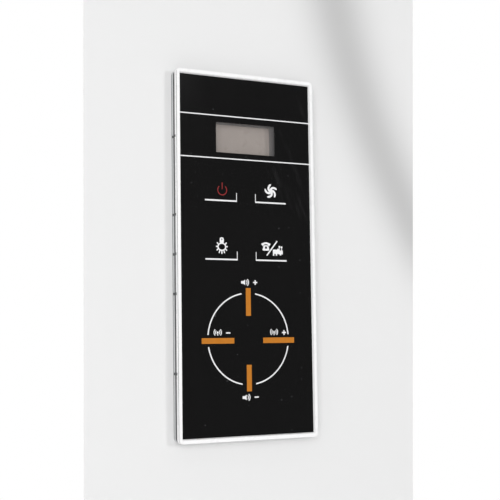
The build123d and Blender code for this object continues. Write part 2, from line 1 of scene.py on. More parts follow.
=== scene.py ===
"""Looks of a shower cabin's wall control panel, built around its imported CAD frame.

The frame gives the pieces and where they are. This script gives every piece its finish, adds the
printed signs, the circuit board's detail, the moulded relief of the case and the screws' threads,
and sets up the wall, the lamps and the camera.
"""

import logging
from dataclasses import dataclass, field
from enum import Enum
from functools import cache
from typing import Any, Iterable

import bpy
import numpy as np
from mathutils import Matrix, Vector

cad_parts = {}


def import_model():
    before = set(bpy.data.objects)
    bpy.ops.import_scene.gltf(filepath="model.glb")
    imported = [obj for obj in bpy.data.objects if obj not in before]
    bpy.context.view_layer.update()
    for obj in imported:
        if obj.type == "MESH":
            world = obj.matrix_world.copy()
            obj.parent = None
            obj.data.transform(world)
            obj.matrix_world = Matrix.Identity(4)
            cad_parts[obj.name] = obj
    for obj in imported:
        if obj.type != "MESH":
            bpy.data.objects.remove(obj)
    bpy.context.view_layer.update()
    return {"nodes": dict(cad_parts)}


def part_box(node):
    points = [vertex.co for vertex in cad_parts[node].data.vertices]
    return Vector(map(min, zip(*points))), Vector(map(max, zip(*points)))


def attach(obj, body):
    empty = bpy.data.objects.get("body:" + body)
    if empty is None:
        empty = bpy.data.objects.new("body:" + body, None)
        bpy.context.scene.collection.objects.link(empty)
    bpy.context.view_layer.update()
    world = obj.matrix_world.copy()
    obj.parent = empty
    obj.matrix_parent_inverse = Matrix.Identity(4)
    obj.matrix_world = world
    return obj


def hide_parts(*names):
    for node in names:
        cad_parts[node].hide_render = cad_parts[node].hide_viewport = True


Array = np.ndarray
Socket = bpy.types.NodeSocket
Place = tuple[float, float]
Span = tuple[float, float]
Pair = tuple[Place, Place]
Triple = tuple[float, float, float]
Colour = Triple
MM = 0.001
TINY = 1e-6
LINE_POINTS = 3
ARC_STEP = 6.0
ARC_POINTS_LEAST = 8
MITRE_LEAST = 0.5
SQUARE = np.array([(-1.0, -1.0), (1.0, -1.0), (1.0, 1.0), (-1.0, 1.0)])
log = logging.getLogger("control_panel")


class Body(Enum):
    """The two large rigid bodies that pieces of this scene ride on."""

    WALL_CASE = "wall_case"
    FRONT_UNIT = "front_unit"


class Key(Enum):
    """The eight keys, by their CAD name."""

    POWER = "power"
    FAN = "fan"
    LAMP = "lamp"
    PHONE = "phone"
    VOLUME_UP = "volume_up"
    VOLUME_DOWN = "volume_down"
    TUNE_DOWN = "tune_down"
    TUNE_UP = "tune_up"


class Clamp(Enum):
    """The four wall clamps, by their CAD name."""

    UPPER_LEFT = "upper_left"
    UPPER_RIGHT = "upper_right"
    LOWER_LEFT = "lower_left"
    LOWER_RIGHT = "lower_right"


# Node trees


class Nodes:
    """A node tree with short ways to add nodes."""

    def __init__(self, tree: bpy.types.NodeTree) -> None:
        """Starts on a tree, with one node for coordinates.

        Args:
            tree: the tree to add to.
        """
        self.tree = tree
        self.coordinates = self.node("ShaderNodeTexCoord").outputs

    def node(self, kind: str, inputs: dict[Any, Any] | None = None, **settings: Any) -> bpy.types.Node:
        """Adds a node.

        Args:
            kind: the node's type name.
            inputs: input socket's name or number to a value, or to an output socket to link from.
            settings: plain properties of the node.

        Returns:
            The new node.
        """
        made = self.tree.nodes.new(kind)
        for key, value in settings.items():
            setattr(made, key, value)
        for key, value in (inputs or {}).items():
            self.feed(made.inputs[key], value)
        return made

    def feed(self, socket: Socket, value: Any) -> None:
        """Links an output into a socket, or sets the socket's value.

        Args:
            socket: the input socket.
            value: an output socket, or a plain value.
        """
        if isinstance(value, Socket):
            self.tree.links.new(value, socket)
        else:
            socket.default_value = value

    def step(self, value: Socket, start: float, end: float, low: Any = 0.0, high: Any = 1.0) -> Socket:
        """A smooth step of a value, from low before start to high after end."""
        inputs = {"Value": value, "From Min": start, "From Max": end, "To Min": low, "To Max": high}
        return self.node("ShaderNodeMapRange", inputs, interpolation_type="SMOOTHSTEP").outputs["Result"]

    def maths(self, operation: str, *values: Any) -> Socket:
        """One arithmetic operation on sockets or numbers."""
        return self.node("ShaderNodeMath", dict(enumerate(values)), operation=operation).outputs["Value"]


class Sketch(Nodes):
    """A material's node tree with one Principled shader, and the patterns that finishes share."""

    noise_span: Span = (0.3, 0.7)
    wave_span: float = 2 * np.pi / 20
    mix_colours: tuple[int, int] = (6, 7)
    mix_result: int = 2

    def __init__(self, name: str) -> None:
        """Starts a material.

        Args:
            name: the material's name.
        """
        self.material = bpy.data.materials.new(name)
        self.material.use_nodes = True
        super().__init__(self.material.node_tree)
        self.shader = self.tree.nodes["Principled BSDF"]
        self.place = self.coordinates["Object"]

    def set(self, **values: Any) -> None:
        """Sets or links inputs of the shader, with underscores for spaces in their names."""
        for key, value in values.items():
            self.feed(self.shader.inputs[key.replace("_", " ")], value)

    def axes(self) -> tuple[Socket, ...]:
        """The X, Y and Z sockets of Object coordinates."""
        return tuple(self.node("ShaderNodeSeparateXYZ", {"Vector": self.place}).outputs)

    def stretched(self, scale: Triple) -> Socket:
        """Object coordinates scaled by axis, for grain that runs one way."""
        return self.node("ShaderNodeMapping", {"Vector": self.place, "Scale": scale}).outputs["Vector"]

    def noise(self, size_mm: float, detail: float = 3.0, where: Socket | None = None) -> Socket:
        """Noise from 0 to 1 whose blotches are about size_mm across.

        Args:
            size_mm: the blotches' size.
            detail: how many finer layers it has.
            where: coordinates to read instead of plain Object ones.

        Returns:
            The noise's value socket.
        """
        inputs = {"Vector": where or self.place, "Scale": 1.0 / (size_mm * MM), "Detail": detail}
        return self.node("ShaderNodeTexNoise", inputs).outputs["Fac"]

    def ranged(self, value: Socket, low: float, high: float) -> Socket:
        """Spreads noise over low to high, from the span in which most of it lies.

        Args:
            value: the noise.
            low: the result at the span's start.
            high: the result at the span's end.

        Returns:
            The result's socket.
        """
        start, end = self.noise_span
        inputs = {"Value": value, "From Min": start, "From Max": end, "To Min": low, "To Max": high}
        return self.node("ShaderNodeMapRange", inputs).outputs["Result"]

    def bands(self, pitch_mm: float, direction: str) -> Socket:
        """Soft bands across an axis, as a wave from 0 to 1.

        Args:
            pitch_mm: from one band to the next. The texture's own wave repeats every wave_span.
            direction: the axis that they lie across, X, Y or Z.

        Returns:
            The wave's value socket.
        """
        inputs = {"Vector": self.place, "Scale": self.wave_span / (pitch_mm * MM)}
        return self.node("ShaderNodeTexWave", inputs, bands_direction=direction).outputs["Fac"]

    def blend(self, amount: Socket, first: Any, second: Any) -> Socket:
        """A mix of two colours by an amount.

        Args:
            amount: 0 gives the first colour, and 1 the second.
            first: a colour, or an output socket.
            second: a colour, or an output socket.

        Returns:
            The mixed colour's socket.
        """
        node = self.node("ShaderNodeMix", {"Factor": amount}, data_type="RGBA")
        for number, value in zip(self.mix_colours, (first, second)):
            self.feed(node.inputs[number], value if isinstance(value, Socket) else (*value, 1.0))
        return node.outputs[self.mix_result]

    def bump(self, height: Socket, depth_mm: float, strength: float = 1.0) -> None:
        """Roughens the shader's normal by a height, depth_mm deep."""
        inputs = {"Height": height, "Distance": depth_mm * MM, "Strength": strength}
        self.set(Normal=self.node("ShaderNodeBump", inputs).outputs["Normal"])


# Finishes


def shade(colour: Colour, factor: float) -> Colour:
    """A colour made darker or lighter by a factor."""
    return tuple(min(1.0, part * factor) for part in colour)


@dataclass(frozen=True)
class Finish:
    """A surface finish: a colour and a roughness that vary in blotches, and a fine grain.

    Sizes and depths are in millimetres, and what has no size is left out. The tone's spread is how
    much darker the darkest blotches are, and the gloss's spread is roughness, up and down.
    """

    name: str
    colour: Colour
    roughness: float
    ior: float = 1.5
    tone_mm: float = 0.0
    tone_spread: float = 0.0
    gloss_mm: float = 0.0
    gloss_spread: float = 0.0
    grain_mm: float = 0.0
    grain_detail: float = 3.0
    grain_depth_mm: float = 0.0

    @cache
    def material(self) -> bpy.types.Material:
        """The finish's material, made once and then shared.

        Returns:
            The material.
        """
        sketch = Sketch(self.name)
        sketch.set(Base_Color=(*self.colour, 1.0), Roughness=self.roughness, IOR=self.ior)
        self.dress(sketch)
        return sketch.material

    def dress(self, sketch: Sketch) -> None:
        """Adds the blotches and the grain. A finish with more to it adds that after them.

        Args:
            sketch: the material's nodes.
        """
        if self.tone_mm:
            amount = sketch.ranged(sketch.noise(self.tone_mm), 0.0, 1.0)
            darkest = shade(self.colour, 1.0 - self.tone_spread)
            sketch.set(Base_Color=sketch.blend(amount, darkest, self.colour))
        if self.gloss_mm:
            low, high = max(0.0, self.roughness - self.gloss_spread), self.roughness + self.gloss_spread
            sketch.set(Roughness=sketch.ranged(sketch.noise(self.gloss_mm), low, high))
        if self.grain_mm:
            sketch.bump(sketch.noise(self.grain_mm, self.grain_detail), self.grain_depth_mm)

    def streak(self, sketch: Sketch, marks: Socket, share: Span) -> None:
        """Varies the roughness along marks, over a range given as shares of its mean."""
        low, high = share
        sketch.set(Roughness=sketch.ranged(marks, self.roughness * low, self.roughness * high))


@dataclass(frozen=True)
class MouldedPlastic(Finish):
    """Injection-moulded plastic: faint flow marks, uneven gloss and a fine spark-eroded grain."""

    tone_mm: float = 14.0
    tone_spread: float = 0.035
    gloss_mm: float = 6.0
    gloss_spread: float = 0.05
    grain_mm: float = 0.35
    grain_detail: float = 4.0
    grain_depth_mm: float = 0.012


@dataclass(frozen=True)
class ShadedWall(MouldedPlastic):
    """Moulded plastic with painted shade: near black at the front, clearing to its own grey towards the
    back.
    """

    tone_mm: float = 0.0
    painted_shade_colour: Colour = (0.022, 0.022, 0.027)
    depths_mm: Span = (-6.8, -0.8)

    def dress(self, sketch: Sketch) -> None:
        """Adds the plastic's gloss and grain, and blends from the painted shade's colour to its own by
        depth.

        Args:
            sketch: the material's nodes.
        """
        super().dress(sketch)
        # Painted shade: the wall is dark at its front edge and clears to its own grey towards the back.
        _, depth, _ = sketch.axes()
        front, back = self.depths_mm
        inputs = {"Value": depth, "From Min": front * MM, "From Max": back * MM}
        clear = sketch.node("ShaderNodeMapRange", inputs).outputs["Result"]
        sketch.set(Base_Color=sketch.blend(clear, self.painted_shade_colour, self.colour))


@dataclass(frozen=True)
class GlossSheet(Finish):
    """Back-printed gloss sheet: near black, slightly wavy, with wiped haze, smears and a little dust."""

    ior: float = 1.49
    haze_mm: float = 18.0
    haze_detail: float = 4.0
    haze_scale: Triple = (1.0, 1.0, 0.35)
    haze_gloss: Span = (0.7, 1.5)
    dust_pitch_mm: float = 7.0
    dust_free: float = 0.88
    dust_colour: Colour = (0.16, 0.16, 0.17)
    speck_share: Span = (0.015, 0.045)
    smear_mm: float = 5.0
    smear_detail: float = 4.0
    smear_stretch: float = 5.0
    smear_turn: float = -0.43
    smear_shift_mm: Place = (44.0, 120.0)
    smear_cover: Span = (0.58, 0.8)
    smear_lean: float = 2.0
    smear_from_mm: Span = (30.0, 80.0)
    smear_colour: Colour = (0.012, 0.0117, 0.0122)
    peel_mm: float = 11.0
    peel_detail: float = 2.0
    peel_depth_mm: float = 0.01
    peel_strength: float = 0.6

    def dust(self, sketch: Sketch) -> Socket:
        """A speck in the middle of a few cells of a flat pattern.

        Args:
            sketch: the material's nodes.

        Returns:
            How much dust a point has, from 0 to 1.
        """
        x, _, z = sketch.axes()
        flat = sketch.node("ShaderNodeCombineXYZ", {"X": x, "Y": z}).outputs["Vector"]
        inputs = {"Vector": flat, "Scale": 1.0 / (self.dust_pitch_mm * MM)}
        cells = sketch.node("ShaderNodeTexVoronoi", inputs, voronoi_dimensions="2D").outputs
        speck = sketch.step(cells["Distance"], *self.speck_share, 1.0, 0.0)
        chance = sketch.node("ShaderNodeSeparateColor", {"Color": cells["Color"]}).outputs["Red"]
        return sketch.maths("MULTIPLY", speck, sketch.step(chance, self.dust_free, 1.0))

    def smears(self, sketch: Sketch) -> Socket:
        """Slanting marks in the upper right corner, where the lean times X plus Z is large.

        Args:
            sketch: the material's nodes.

        Returns:
            How much a point is smeared, from 0 to 1.
        """
        across, up = self.smear_shift_mm
        slanted = sketch.node("ShaderNodeMapping", {
            "Vector": sketch.place,
            "Location": (across * MM, 0.0, up * MM),
            "Rotation": (0.0, self.smear_turn, 0.0),
            "Scale": (1.0, 1.0, self.smear_stretch),
        }, vector_type="TEXTURE").outputs["Vector"]
        marks = sketch.step(sketch.noise(self.smear_mm, self.smear_detail, slanted), *self.smear_cover)
        x, _, z = sketch.axes()
        start, full = self.smear_from_mm
        corner = sketch.step(sketch.maths("MULTIPLY_ADD", x, self.smear_lean, z), start * MM, full * MM)
        return sketch.maths("MULTIPLY", marks, corner)

    def dress(self, sketch: Sketch) -> None:
        """Adds haze in wiped streaks, smears, dust specks and a very slight waviness.

        Args:
            sketch: the material's nodes.
        """
        haze = sketch.noise(self.haze_mm, self.haze_detail, sketch.stretched(self.haze_scale))
        self.streak(sketch, haze, self.haze_gloss)
        wiped = sketch.blend(self.smears(sketch), self.colour, self.smear_colour)
        sketch.set(Base_Color=sketch.blend(self.dust(sketch), wiped, self.dust_colour))
        sketch.bump(sketch.noise(self.peel_mm, self.peel_detail), self.peel_depth_mm, self.peel_strength)


@dataclass(frozen=True)
class Ink(Finish):
    """Screen-printed ink: a slightly uneven film with a fine mesh texture."""

    tone_mm: float = 1.6
    tone_spread: float = 0.07
    gloss_mm: float = 3.0
    gloss_spread: float = 0.06
    grain_mm: float = 0.18
    grain_detail: float = 2.0
    grain_depth_mm: float = 0.006


@dataclass(frozen=True)
class ClearSheet(Finish):
    """Clear acrylic window: faint, with a very slight wiped haze in its gloss."""

    ior: float = 1.49
    gloss_mm: float = 9.0
    gloss_spread: float = 0.02
    alpha: float = 0.02

    def dress(self, sketch: Sketch) -> None:
        """Adds the haze and makes it see-through."""
        super().dress(sketch)
        sketch.set(Alpha=self.alpha)


@dataclass(frozen=True)
class CrystalDisplay(Finish):
    """Unlit liquid crystal display: an uneven warm grey film with a fine cell grid, under gloss glass."""

    tone_mm: float = 24.0
    tone_spread: float = 0.035
    gloss_mm: float = 5.0
    gloss_spread: float = 0.04
    grain_mm: float = 0.12
    grain_detail: float = 2.0
    grain_depth_mm: float = 0.003
    glass_weight: float = 0.4
    glass_roughness: float = 0.06

    def dress(self, sketch: Sketch) -> None:
        """Adds the film's detail and the glass over it."""
        super().dress(sketch)
        sketch.set(Coat_Weight=self.glass_weight, Coat_Roughness=self.glass_roughness)


@dataclass(frozen=True)
class SoftRubber(Finish):
    """Black moulded rubber with a dusty, matt and finely pitted skin."""

    gloss_mm: float = 2.0
    gloss_spread: float = 0.06
    grain_mm: float = 0.25
    grain_detail: float = 4.0
    grain_depth_mm: float = 0.02
    bloom_mm: float = 5.0
    bloom_detail: float = 5.0
    bloom_most: float = 0.5
    bloom_shade: float = 2.2

    def dress(self, sketch: Sketch) -> None:
        """Adds the skin's detail and a dusty bloom.

        Args:
            sketch: the material's nodes.
        """
        super().dress(sketch)
        bloom = sketch.ranged(sketch.noise(self.bloom_mm, self.bloom_detail), 0.0, self.bloom_most)
        sketch.set(Base_Color=sketch.blend(bloom, self.colour, shade(self.colour, self.bloom_shade)))


@dataclass(frozen=True)
class CellFoam(Finish):
    """Closed-cell foam: small round cells, cut through at the surface."""

    cell_mm: float = 0.35
    pit_share: Span = (0.1, 0.55)
    pit_painted_shade: float = 0.6
    pit_depth_mm: float = 0.08

    def dress(self, sketch: Sketch) -> None:
        """Adds the cut cells as pits, darkened with painted shade.

        Args:
            sketch: the material's nodes.
        """
        inputs = {"Vector": sketch.place, "Scale": 1.0 / (self.cell_mm * MM)}
        cells = sketch.node("ShaderNodeTexVoronoi", inputs).outputs
        pit = sketch.step(cells["Distance"], *self.pit_share)
        # Painted shade: the colour darkens inside each cut cell.
        sketch.set(Base_Color=sketch.blend(pit, shade(self.colour, self.pit_painted_shade), self.colour))
        sketch.bump(pit, self.pit_depth_mm)


@dataclass(frozen=True)
class Metal(Finish):
    """Bare or plated metal, slightly tarnished, with drawn or turned marks along one axis."""

    tone_mm: float = 2.5
    tone_spread: float = 0.12
    mark_mm: float = 0.2
    mark_scale: Triple = (1.0, 0.08, 1.0)
    mark_gloss: Span = (0.75, 1.3)
    mark_depth_mm: float = 0.006

    def dress(self, sketch: Sketch) -> None:
        """Adds the tarnish, and marks along the grain.

        Args:
            sketch: the material's nodes.
        """
        super().dress(sketch)
        sketch.set(Metallic=1.0)
        marks = sketch.noise(self.mark_mm, where=sketch.stretched(self.mark_scale))
        self.streak(sketch, marks, self.mark_gloss)
        sketch.bump(marks, self.mark_depth_mm)


@dataclass(frozen=True)
class SleevedCan(Metal):
    """Electrolytic capacitor can with a dark polarity band on one side."""

    tone_mm: float = 0.0
    mark_gloss: Span = (0.8, 1.3)
    mark_depth_mm: float = 0.004
    band_x_mm: float = 0.0
    band_blur_mm: float = 0.05
    band_colour: Colour = (0.03, 0.03, 0.04)

    def dress(self, sketch: Sketch) -> None:
        """Adds drawn marks, and darkens the side beyond the band's edge.

        Args:
            sketch: the material's nodes.
        """
        super().dress(sketch)
        x, _, _ = sketch.axes()
        band = sketch.step(x, (self.band_x_mm - self.band_blur_mm) * MM, self.band_x_mm * MM, 1.0, 0.0)
        sketch.set(Base_Color=sketch.blend(band, self.colour, self.band_colour))
        sketch.set(Metallic=sketch.step(band, 0.0, 1.0, 1.0, 0.0))


@dataclass(frozen=True)
class BoardLacquer(Finish):
    """Solder-resist lacquer over a glass-fibre board: the weave shows faintly through the green."""

    gloss_mm: float = 5.0
    gloss_spread: float = 0.06
    weave_mm: float = 1.184
    weave_tone: float = 0.35
    weave_shade: float = 1.8
    weave_depth_mm: float = 0.01

    def dress(self, sketch: Sketch) -> None:
        """Adds uneven gloss and the weave of two crossed thread sets.

        Args:
            sketch: the material's nodes.
        """
        super().dress(sketch)
        weave = sketch.maths("MULTIPLY", *(sketch.bands(self.weave_mm, axis) for axis in "XZ"))
        tone = sketch.maths("MULTIPLY", weave, self.weave_tone)
        sketch.set(Base_Color=sketch.blend(tone, self.colour, shade(self.colour, self.weave_shade)))
        sketch.bump(weave, self.weave_depth_mm)


@dataclass(frozen=True)
class StripedRubber(Finish):
    """Elastic contact strip: thin conducting layers between clear ones."""

    layer_mm: float = 0.9865
    layer_edge: Span = (0.35, 0.65)
    layer_shade: float = 0.12
    layer_depth_mm: float = 0.02

    def dress(self, sketch: Sketch) -> None:
        """Adds the layers as fine dark stripes across the strip.

        Args:
            sketch: the material's nodes.
        """
        layer = sketch.step(sketch.bands(self.layer_mm, "X"), *self.layer_edge)
        sketch.set(Base_Color=sketch.blend(layer, shade(self.colour, self.layer_shade), self.colour))
        sketch.bump(layer, self.layer_depth_mm)


@dataclass(frozen=True)
class LeadedChip(Finish):
    """Chip package with tinned leads outside its moulded body."""

    grain_mm: float = 0.15
    grain_depth_mm: float = 0.01
    centre_mm: Place = (0.0, 0.0)
    half_mm: float = 5.02
    edge_mm: float = 0.01
    lead_colour: Colour = (0.6, 0.6, 0.6)
    lead_roughness: float = 0.3

    def dress(self, sketch: Sketch) -> None:
        """Adds the grain, and tells leads from body by how far a point lies from the package's middle.

        Args:
            sketch: the material's nodes.
        """
        super().dress(sketch)
        x, _, z = sketch.axes()
        offsets = [sketch.maths("SUBTRACT", axis, at * MM) for axis, at in zip((x, z), self.centre_mm)]
        reach = sketch.maths("MAXIMUM", *(sketch.maths("ABSOLUTE", offset) for offset in offsets))
        lead = sketch.step(reach, self.half_mm * MM, (self.half_mm + self.edge_mm) * MM)
        sketch.set(Base_Color=sketch.blend(lead, self.colour, self.lead_colour), Metallic=lead)
        sketch.set(Roughness=sketch.step(lead, 0.0, 1.0, self.roughness, self.lead_roughness))


class Finishes:
    """Every finish of the panel, by what it covers."""

    BEZEL = MouldedPlastic("white_bezel_plastic", (0.91, 0.907, 0.91), 0.3, tone_spread=0.02)
    CASE = MouldedPlastic("grey_case_plastic", (0.62, 0.63, 0.64), 0.48, grain_depth_mm=0.025)
    KEY = MouldedPlastic("white_key_plastic", (0.8, 0.8, 0.79), 0.4)
    SHROUD = ShadedWall("grey_shroud_plastic", (0.2, 0.19, 0.188), 0.55)
    DOG = MouldedPlastic("black_dog_plastic", (0.035, 0.035, 0.037), 0.5, grain_depth_mm=0.03)
    SWITCH = MouldedPlastic("black_switch_plastic", (0.02, 0.02, 0.021), 0.5)
    PLUNGER = MouldedPlastic("brown_plunger_plastic", (0.11, 0.06, 0.035), 0.45)
    HEADER = MouldedPlastic("natural_header_plastic", (0.78, 0.73, 0.6), 0.42)
    GUIDE = MouldedPlastic("milky_light_guide", (0.8, 0.83, 0.81), 0.25, tone_spread=0.02)
    CHIP = LeadedChip("moulded_chip", (0.018, 0.018, 0.02), 0.5, centre_mm=(-4.0, 18.0))
    REGULATOR = MouldedPlastic("moulded_regulator", (0.02, 0.02, 0.021), 0.5)
    SHEET = GlossSheet("black_gloss_sheet", (0.0046, 0.0045, 0.0046), 0.11)
    WHITE = Ink("white_ink", (0.86, 0.86, 0.87), 0.42)
    ORANGE = Ink("orange_ink", (0.52, 0.18, 0.014), 0.42)
    RED = Ink("red_ink", (0.28, 0.023, 0.023), 0.42)
    SILK = Ink("board_legend_ink", (0.8, 0.8, 0.76), 0.5)
    WINDOW = ClearSheet("clear_window", (0.9, 0.9, 0.9), 0.05)
    DISPLAY = CrystalDisplay("grey_display", (0.34, 0.297, 0.272), 0.3)
    RUBBER = SoftRubber("black_rubber", (0.025, 0.025, 0.026), 0.7)
    SEAM = SoftRubber("grey_seam_rubber", (0.07, 0.07, 0.072), 0.7)
    FOAM = CellFoam("grey_foam", (0.16, 0.16, 0.165), 0.9)
    STRIP = StripedRubber("contact_strip_rubber", (0.5, 0.5, 0.52), 0.5)
    BOARD = BoardLacquer("green_board", (0.012, 0.11, 0.04), 0.32)
    TRACE = BoardLacquer("green_board_trace", (0.03, 0.2, 0.075), 0.3)
    SOLDER = Metal("solder", (0.66, 0.66, 0.67), 0.28, mark_scale=(1.0, 1.0, 1.0))
    STEEL = Metal("plated_screw_steel", (0.6, 0.6, 0.62), 0.3)
    BRASS = Metal("turned_brass", (0.72, 0.5, 0.2), 0.26, mark_scale=(1.0, 6.0, 1.0))
    CAN = Metal("drawn_can", (0.68, 0.68, 0.7), 0.28)
    CAPACITOR = SleevedCan("capacitor_can", (0.7, 0.7, 0.71), 0.3, band_x_mm=12.4)
    PIN = Metal("tinned_pin", (0.74, 0.72, 0.66), 0.25)


# Surfaces on grids


def grid_quads(rows: int, columns: int, wrap_rows: bool, wrap_columns: bool) -> Array:
    """Corner numbers of a grid's quads: (i, j), (i+1, j), (i+1, j+1), (i, j+1) for every cell.

    Args:
        rows: points along the first parameter.
        columns: points along the second parameter.
        wrap_rows: joins the last row to the first.
        wrap_columns: joins the last column to the first.

    Returns:
        One row of four point numbers per quad.
    """
    i, j = np.meshgrid(
        np.arange(rows if wrap_rows else rows - 1),
        np.arange(columns if wrap_columns else columns - 1),
        indexing="ij",
    )
    i_next, j_next = (i + 1) % rows, (j + 1) % columns
    corners = (i * columns + j, i_next * columns + j, i_next * columns + j_next, i * columns + j_next)
    return np.stack(corners, axis=-1).reshape(-1, 4)


def ladder(count: int, start: int = 0) -> Array:
    """Quads that close a loop of an even count of points, as rungs between its two halves."""
    j = np.arange(count // 2 - 1)
    return start + np.stack([j, j + 1, count - 2 - j, count - 1 - j], axis=-1)


@dataclass
class Shell:
    """A closed surface: points in millimetres and quads by point number."""

    points: Array
    quads: Array

    @staticmethod
    def joined(shells: Iterable["Shell"]) -> "Shell":
        """One shell that holds several, with the later ones' point numbers moved on.

        Args:
            shells: the shells to hold.

        Returns:
            The shell of them all.
        """
        parts = list(shells)
        counts = np.array([len(part.points) for part in parts])
        starts = np.concatenate([[0], np.cumsum(counts)[:-1]])
        quads = [part.quads + start for part, start in zip(parts, starts)]
        return Shell(np.concatenate([part.points for part in parts]), np.concatenate(quads))

    def outward(self) -> "Shell":
        """The same shell with its faces turned outwards.

        The signed volume is the sum over triangles of a . (b x c) / 6. It is negative where the
        faces point inwards, and then every quad's order is reversed.

        Returns:
            The shell with a positive volume.
        """
        a, b, c, d = (self.points[self.quads[:, k]] for k in range(4))
        first = np.einsum("ij,ij->i", a, np.cross(b, c))
        second = np.einsum("ij,ij->i", a, np.cross(c, d))
        if np.sum(first + second) < 0:
            return Shell(self.points, self.quads[:, ::-1])
        return self

    def copies(self, places: Array) -> "Shell":
        """The shell repeated at each place.

        Args:
            places: (n, 3) offsets in millimetres.

        Returns:
            One shell with n copies: every point plus every offset.
        """
        points = (places[:, None, :] + self.points[None, :, :]).reshape(-1, 3)
        offsets = np.arange(len(places))[:, None, None] * len(self.points)
        return Shell(points, (self.quads[None] + offsets).reshape(-1, 4))

    def piece(
        self, name: str, body: str, slot: str, finish: Finish, smooth: bool = False
    ) -> bpy.types.Object:
        """Makes the shell an object that rides on a body.

        Args:
            name: the piece's name.
            body: the CAD body that it moves with.
            slot: not used.
            finish: its finish.
            smooth: shades it smooth.

        Returns:
            The new object.
        """
        mesh = bpy.data.meshes.new(name)
        mesh.from_pydata((self.points * MM).tolist(), [], self.quads.tolist())
        mesh.validate()
        mesh.polygons.foreach_set("use_smooth", np.full(len(mesh.polygons), smooth))
        mesh.materials.append(finish.material())
        made = bpy.data.objects.new(name, mesh)
        bpy.context.scene.collection.objects.link(made)
        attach(made, body)
        log.info("%s: %d faces on %s", name, len(mesh.polygons), body)
        return made


def stacked(outlines: Array, depths: Array, ring: bool = False) -> Shell:
    """A closed shape from outlines in the face's plane, one behind the other.

    Every outline is carried to its own depth, and neighbours are joined point by point. The two
    ends are capped, or in a ring the last outline is joined to the first.

    Args:
        outlines: (n, m, 2) outlines with an even count of points, convex where they are capped.
        depths: (n,) or (n, m) depths.
        ring: joins the last outline to the first in place of caps.

    Returns:
        The shell, facing outwards.
    """
    rows, columns, _ = outlines.shape
    depth = np.broadcast_to(np.reshape(depths, (rows, -1)), (rows, columns))
    points = np.stack([outlines[..., 0], depth, outlines[..., 1]], axis=-1).reshape(-1, 3)
    faces = [grid_quads(rows, columns, ring, True)]
    if not ring:
        faces += [ladder(columns), ladder(columns, (rows - 1) * columns)[:, ::-1]]
    return Shell(points, np.concatenate(faces)).outward()


def plate(across: Array, front: float, back: float, closed: bool = False) -> Shell:
    """A flat plate from a grid of points (X, Z) in the face's plane.

    Each row of the grid becomes a closed loop: the row at the front depth, and the same row
    backwards at the back depth. The loops are then stacked row to row.

    Args:
        across: (n, m, 2) points, n along the shape and m across it, in millimetres.
        front: depth of its front face.
        back: depth of its back face.
        closed: joins the last row to the first, as in a ring.

    Returns:
        The plate's shell, facing outwards.
    """
    rows, half, _ = across.shape
    loops = np.concatenate([across, across[:, ::-1]], axis=1)
    return stacked(loops, np.tile(np.repeat([front, back], half), (rows, 1)), closed)


def compass(angle: Array) -> Array:
    """Unit vectors at angles in radians: the cosine across and the sine up."""
    return np.stack([np.cos(angle), np.sin(angle)], axis=-1)


def turned(radius: Array, depths: Array, angle: Array, centre: Place, ring: bool = False) -> Shell:
    """A shape round an axis along Y: at every angle, the profile of radius over depth.

    Args:
        radius: (n, m) radius of each profile point at each angle.
        depths: (n,) or (n, m) depths.
        angle: (m,) angles, in radians.
        centre: X and Z of the axis.
        ring: joins the profile's last point to its first.

    Returns:
        The shell, facing outwards.
    """
    return stacked(np.array(centre) + radius[..., None] * compass(angle), depths, ring)


def stroke(path: Array, width: float | Array) -> Array:
    """A band along a path, with mitred corners.

    Each edge is the path moved by half the width along its normal. At a corner the normal halves
    the turn, and is longer by one over the cosine of half the turn, but not by more than double.

    Args:
        path: (n, 2) points.
        width: the band's width, or one width for each point.

    Returns:
        (n, 2, 2) grid of the two edges.
    """
    run = np.diff(path, axis=0)
    run /= np.linalg.norm(run, axis=1, keepdims=True)
    tangent = np.concatenate([run[:1], run[:-1] + run[1:], run[-1:]])
    tangent /= np.linalg.norm(tangent, axis=1, keepdims=True)
    mitre = np.sum(tangent * np.concatenate([run, run[-1:]]), axis=1)
    normal = np.stack([-tangent[:, 1], tangent[:, 0]], axis=-1) / np.clip(mitre, MITRE_LEAST, 1.0)[:, None]
    half = np.broadcast_to(np.asarray(width) / 2, len(path))[:, None]
    return np.stack([path - half * normal, path + half * normal], axis=1)


def line(start: Place, end: Place, width: float) -> Array:
    """A straight band from start to end."""
    return stroke(np.linspace(start, end, LINE_POINTS), width)


def arc(centre: Place, radius: float, start: float, end: float, width: float) -> Array:
    """A band along a circle's arc, with a point every ARC_STEP degrees or so.

    Args:
        centre: the circle's middle.
        radius: the band's middle radius.
        start: first angle, in degrees.
        end: last angle, in degrees.
        width: the band's width.

    Returns:
        (n, 2, 2) grid along centre + radius (cos, sin).
    """
    count = max(ARC_POINTS_LEAST, int(abs(end - start) / ARC_STEP))
    angle = np.radians(np.linspace(start, end, count))
    return stroke(np.array(centre) + radius * compass(angle), width)


def disc(centre: Place, radius: float, steps: int = 9) -> Array:
    """A round patch: the square [-1, 1] x [-1, 1] carried onto a circle.

    A point (u, v) goes to u sqrt(1 - v v / 2) across and v sqrt(1 - u u / 2) up, times the radius.

    Args:
        centre: its middle.
        radius: its radius.
        steps: points along each side of the square.

    Returns:
        (steps, steps, 2) grid.
    """
    u, v = np.meshgrid(np.linspace(-1, 1, steps), np.linspace(-1, 1, steps), indexing="ij")
    x, z = u * np.sqrt(1 - v * v / 2), v * np.sqrt(1 - u * u / 2)
    return np.array(centre) + radius * np.stack([x, z], axis=-1)


def patch(corners: Array) -> Array:
    """A four-cornered patch from its lower left, lower right, upper right and upper left corners."""
    lower_left, lower_right, upper_right, upper_left = corners
    return np.array([[lower_left, upper_left], [lower_right, upper_right]])


def box_patch(low: Place, high: Place) -> Array:
    """An upright rectangle from its lower left to its upper right corner."""
    return patch(np.array([low, (high[0], low[1]), high, (low[0], high[1])]))


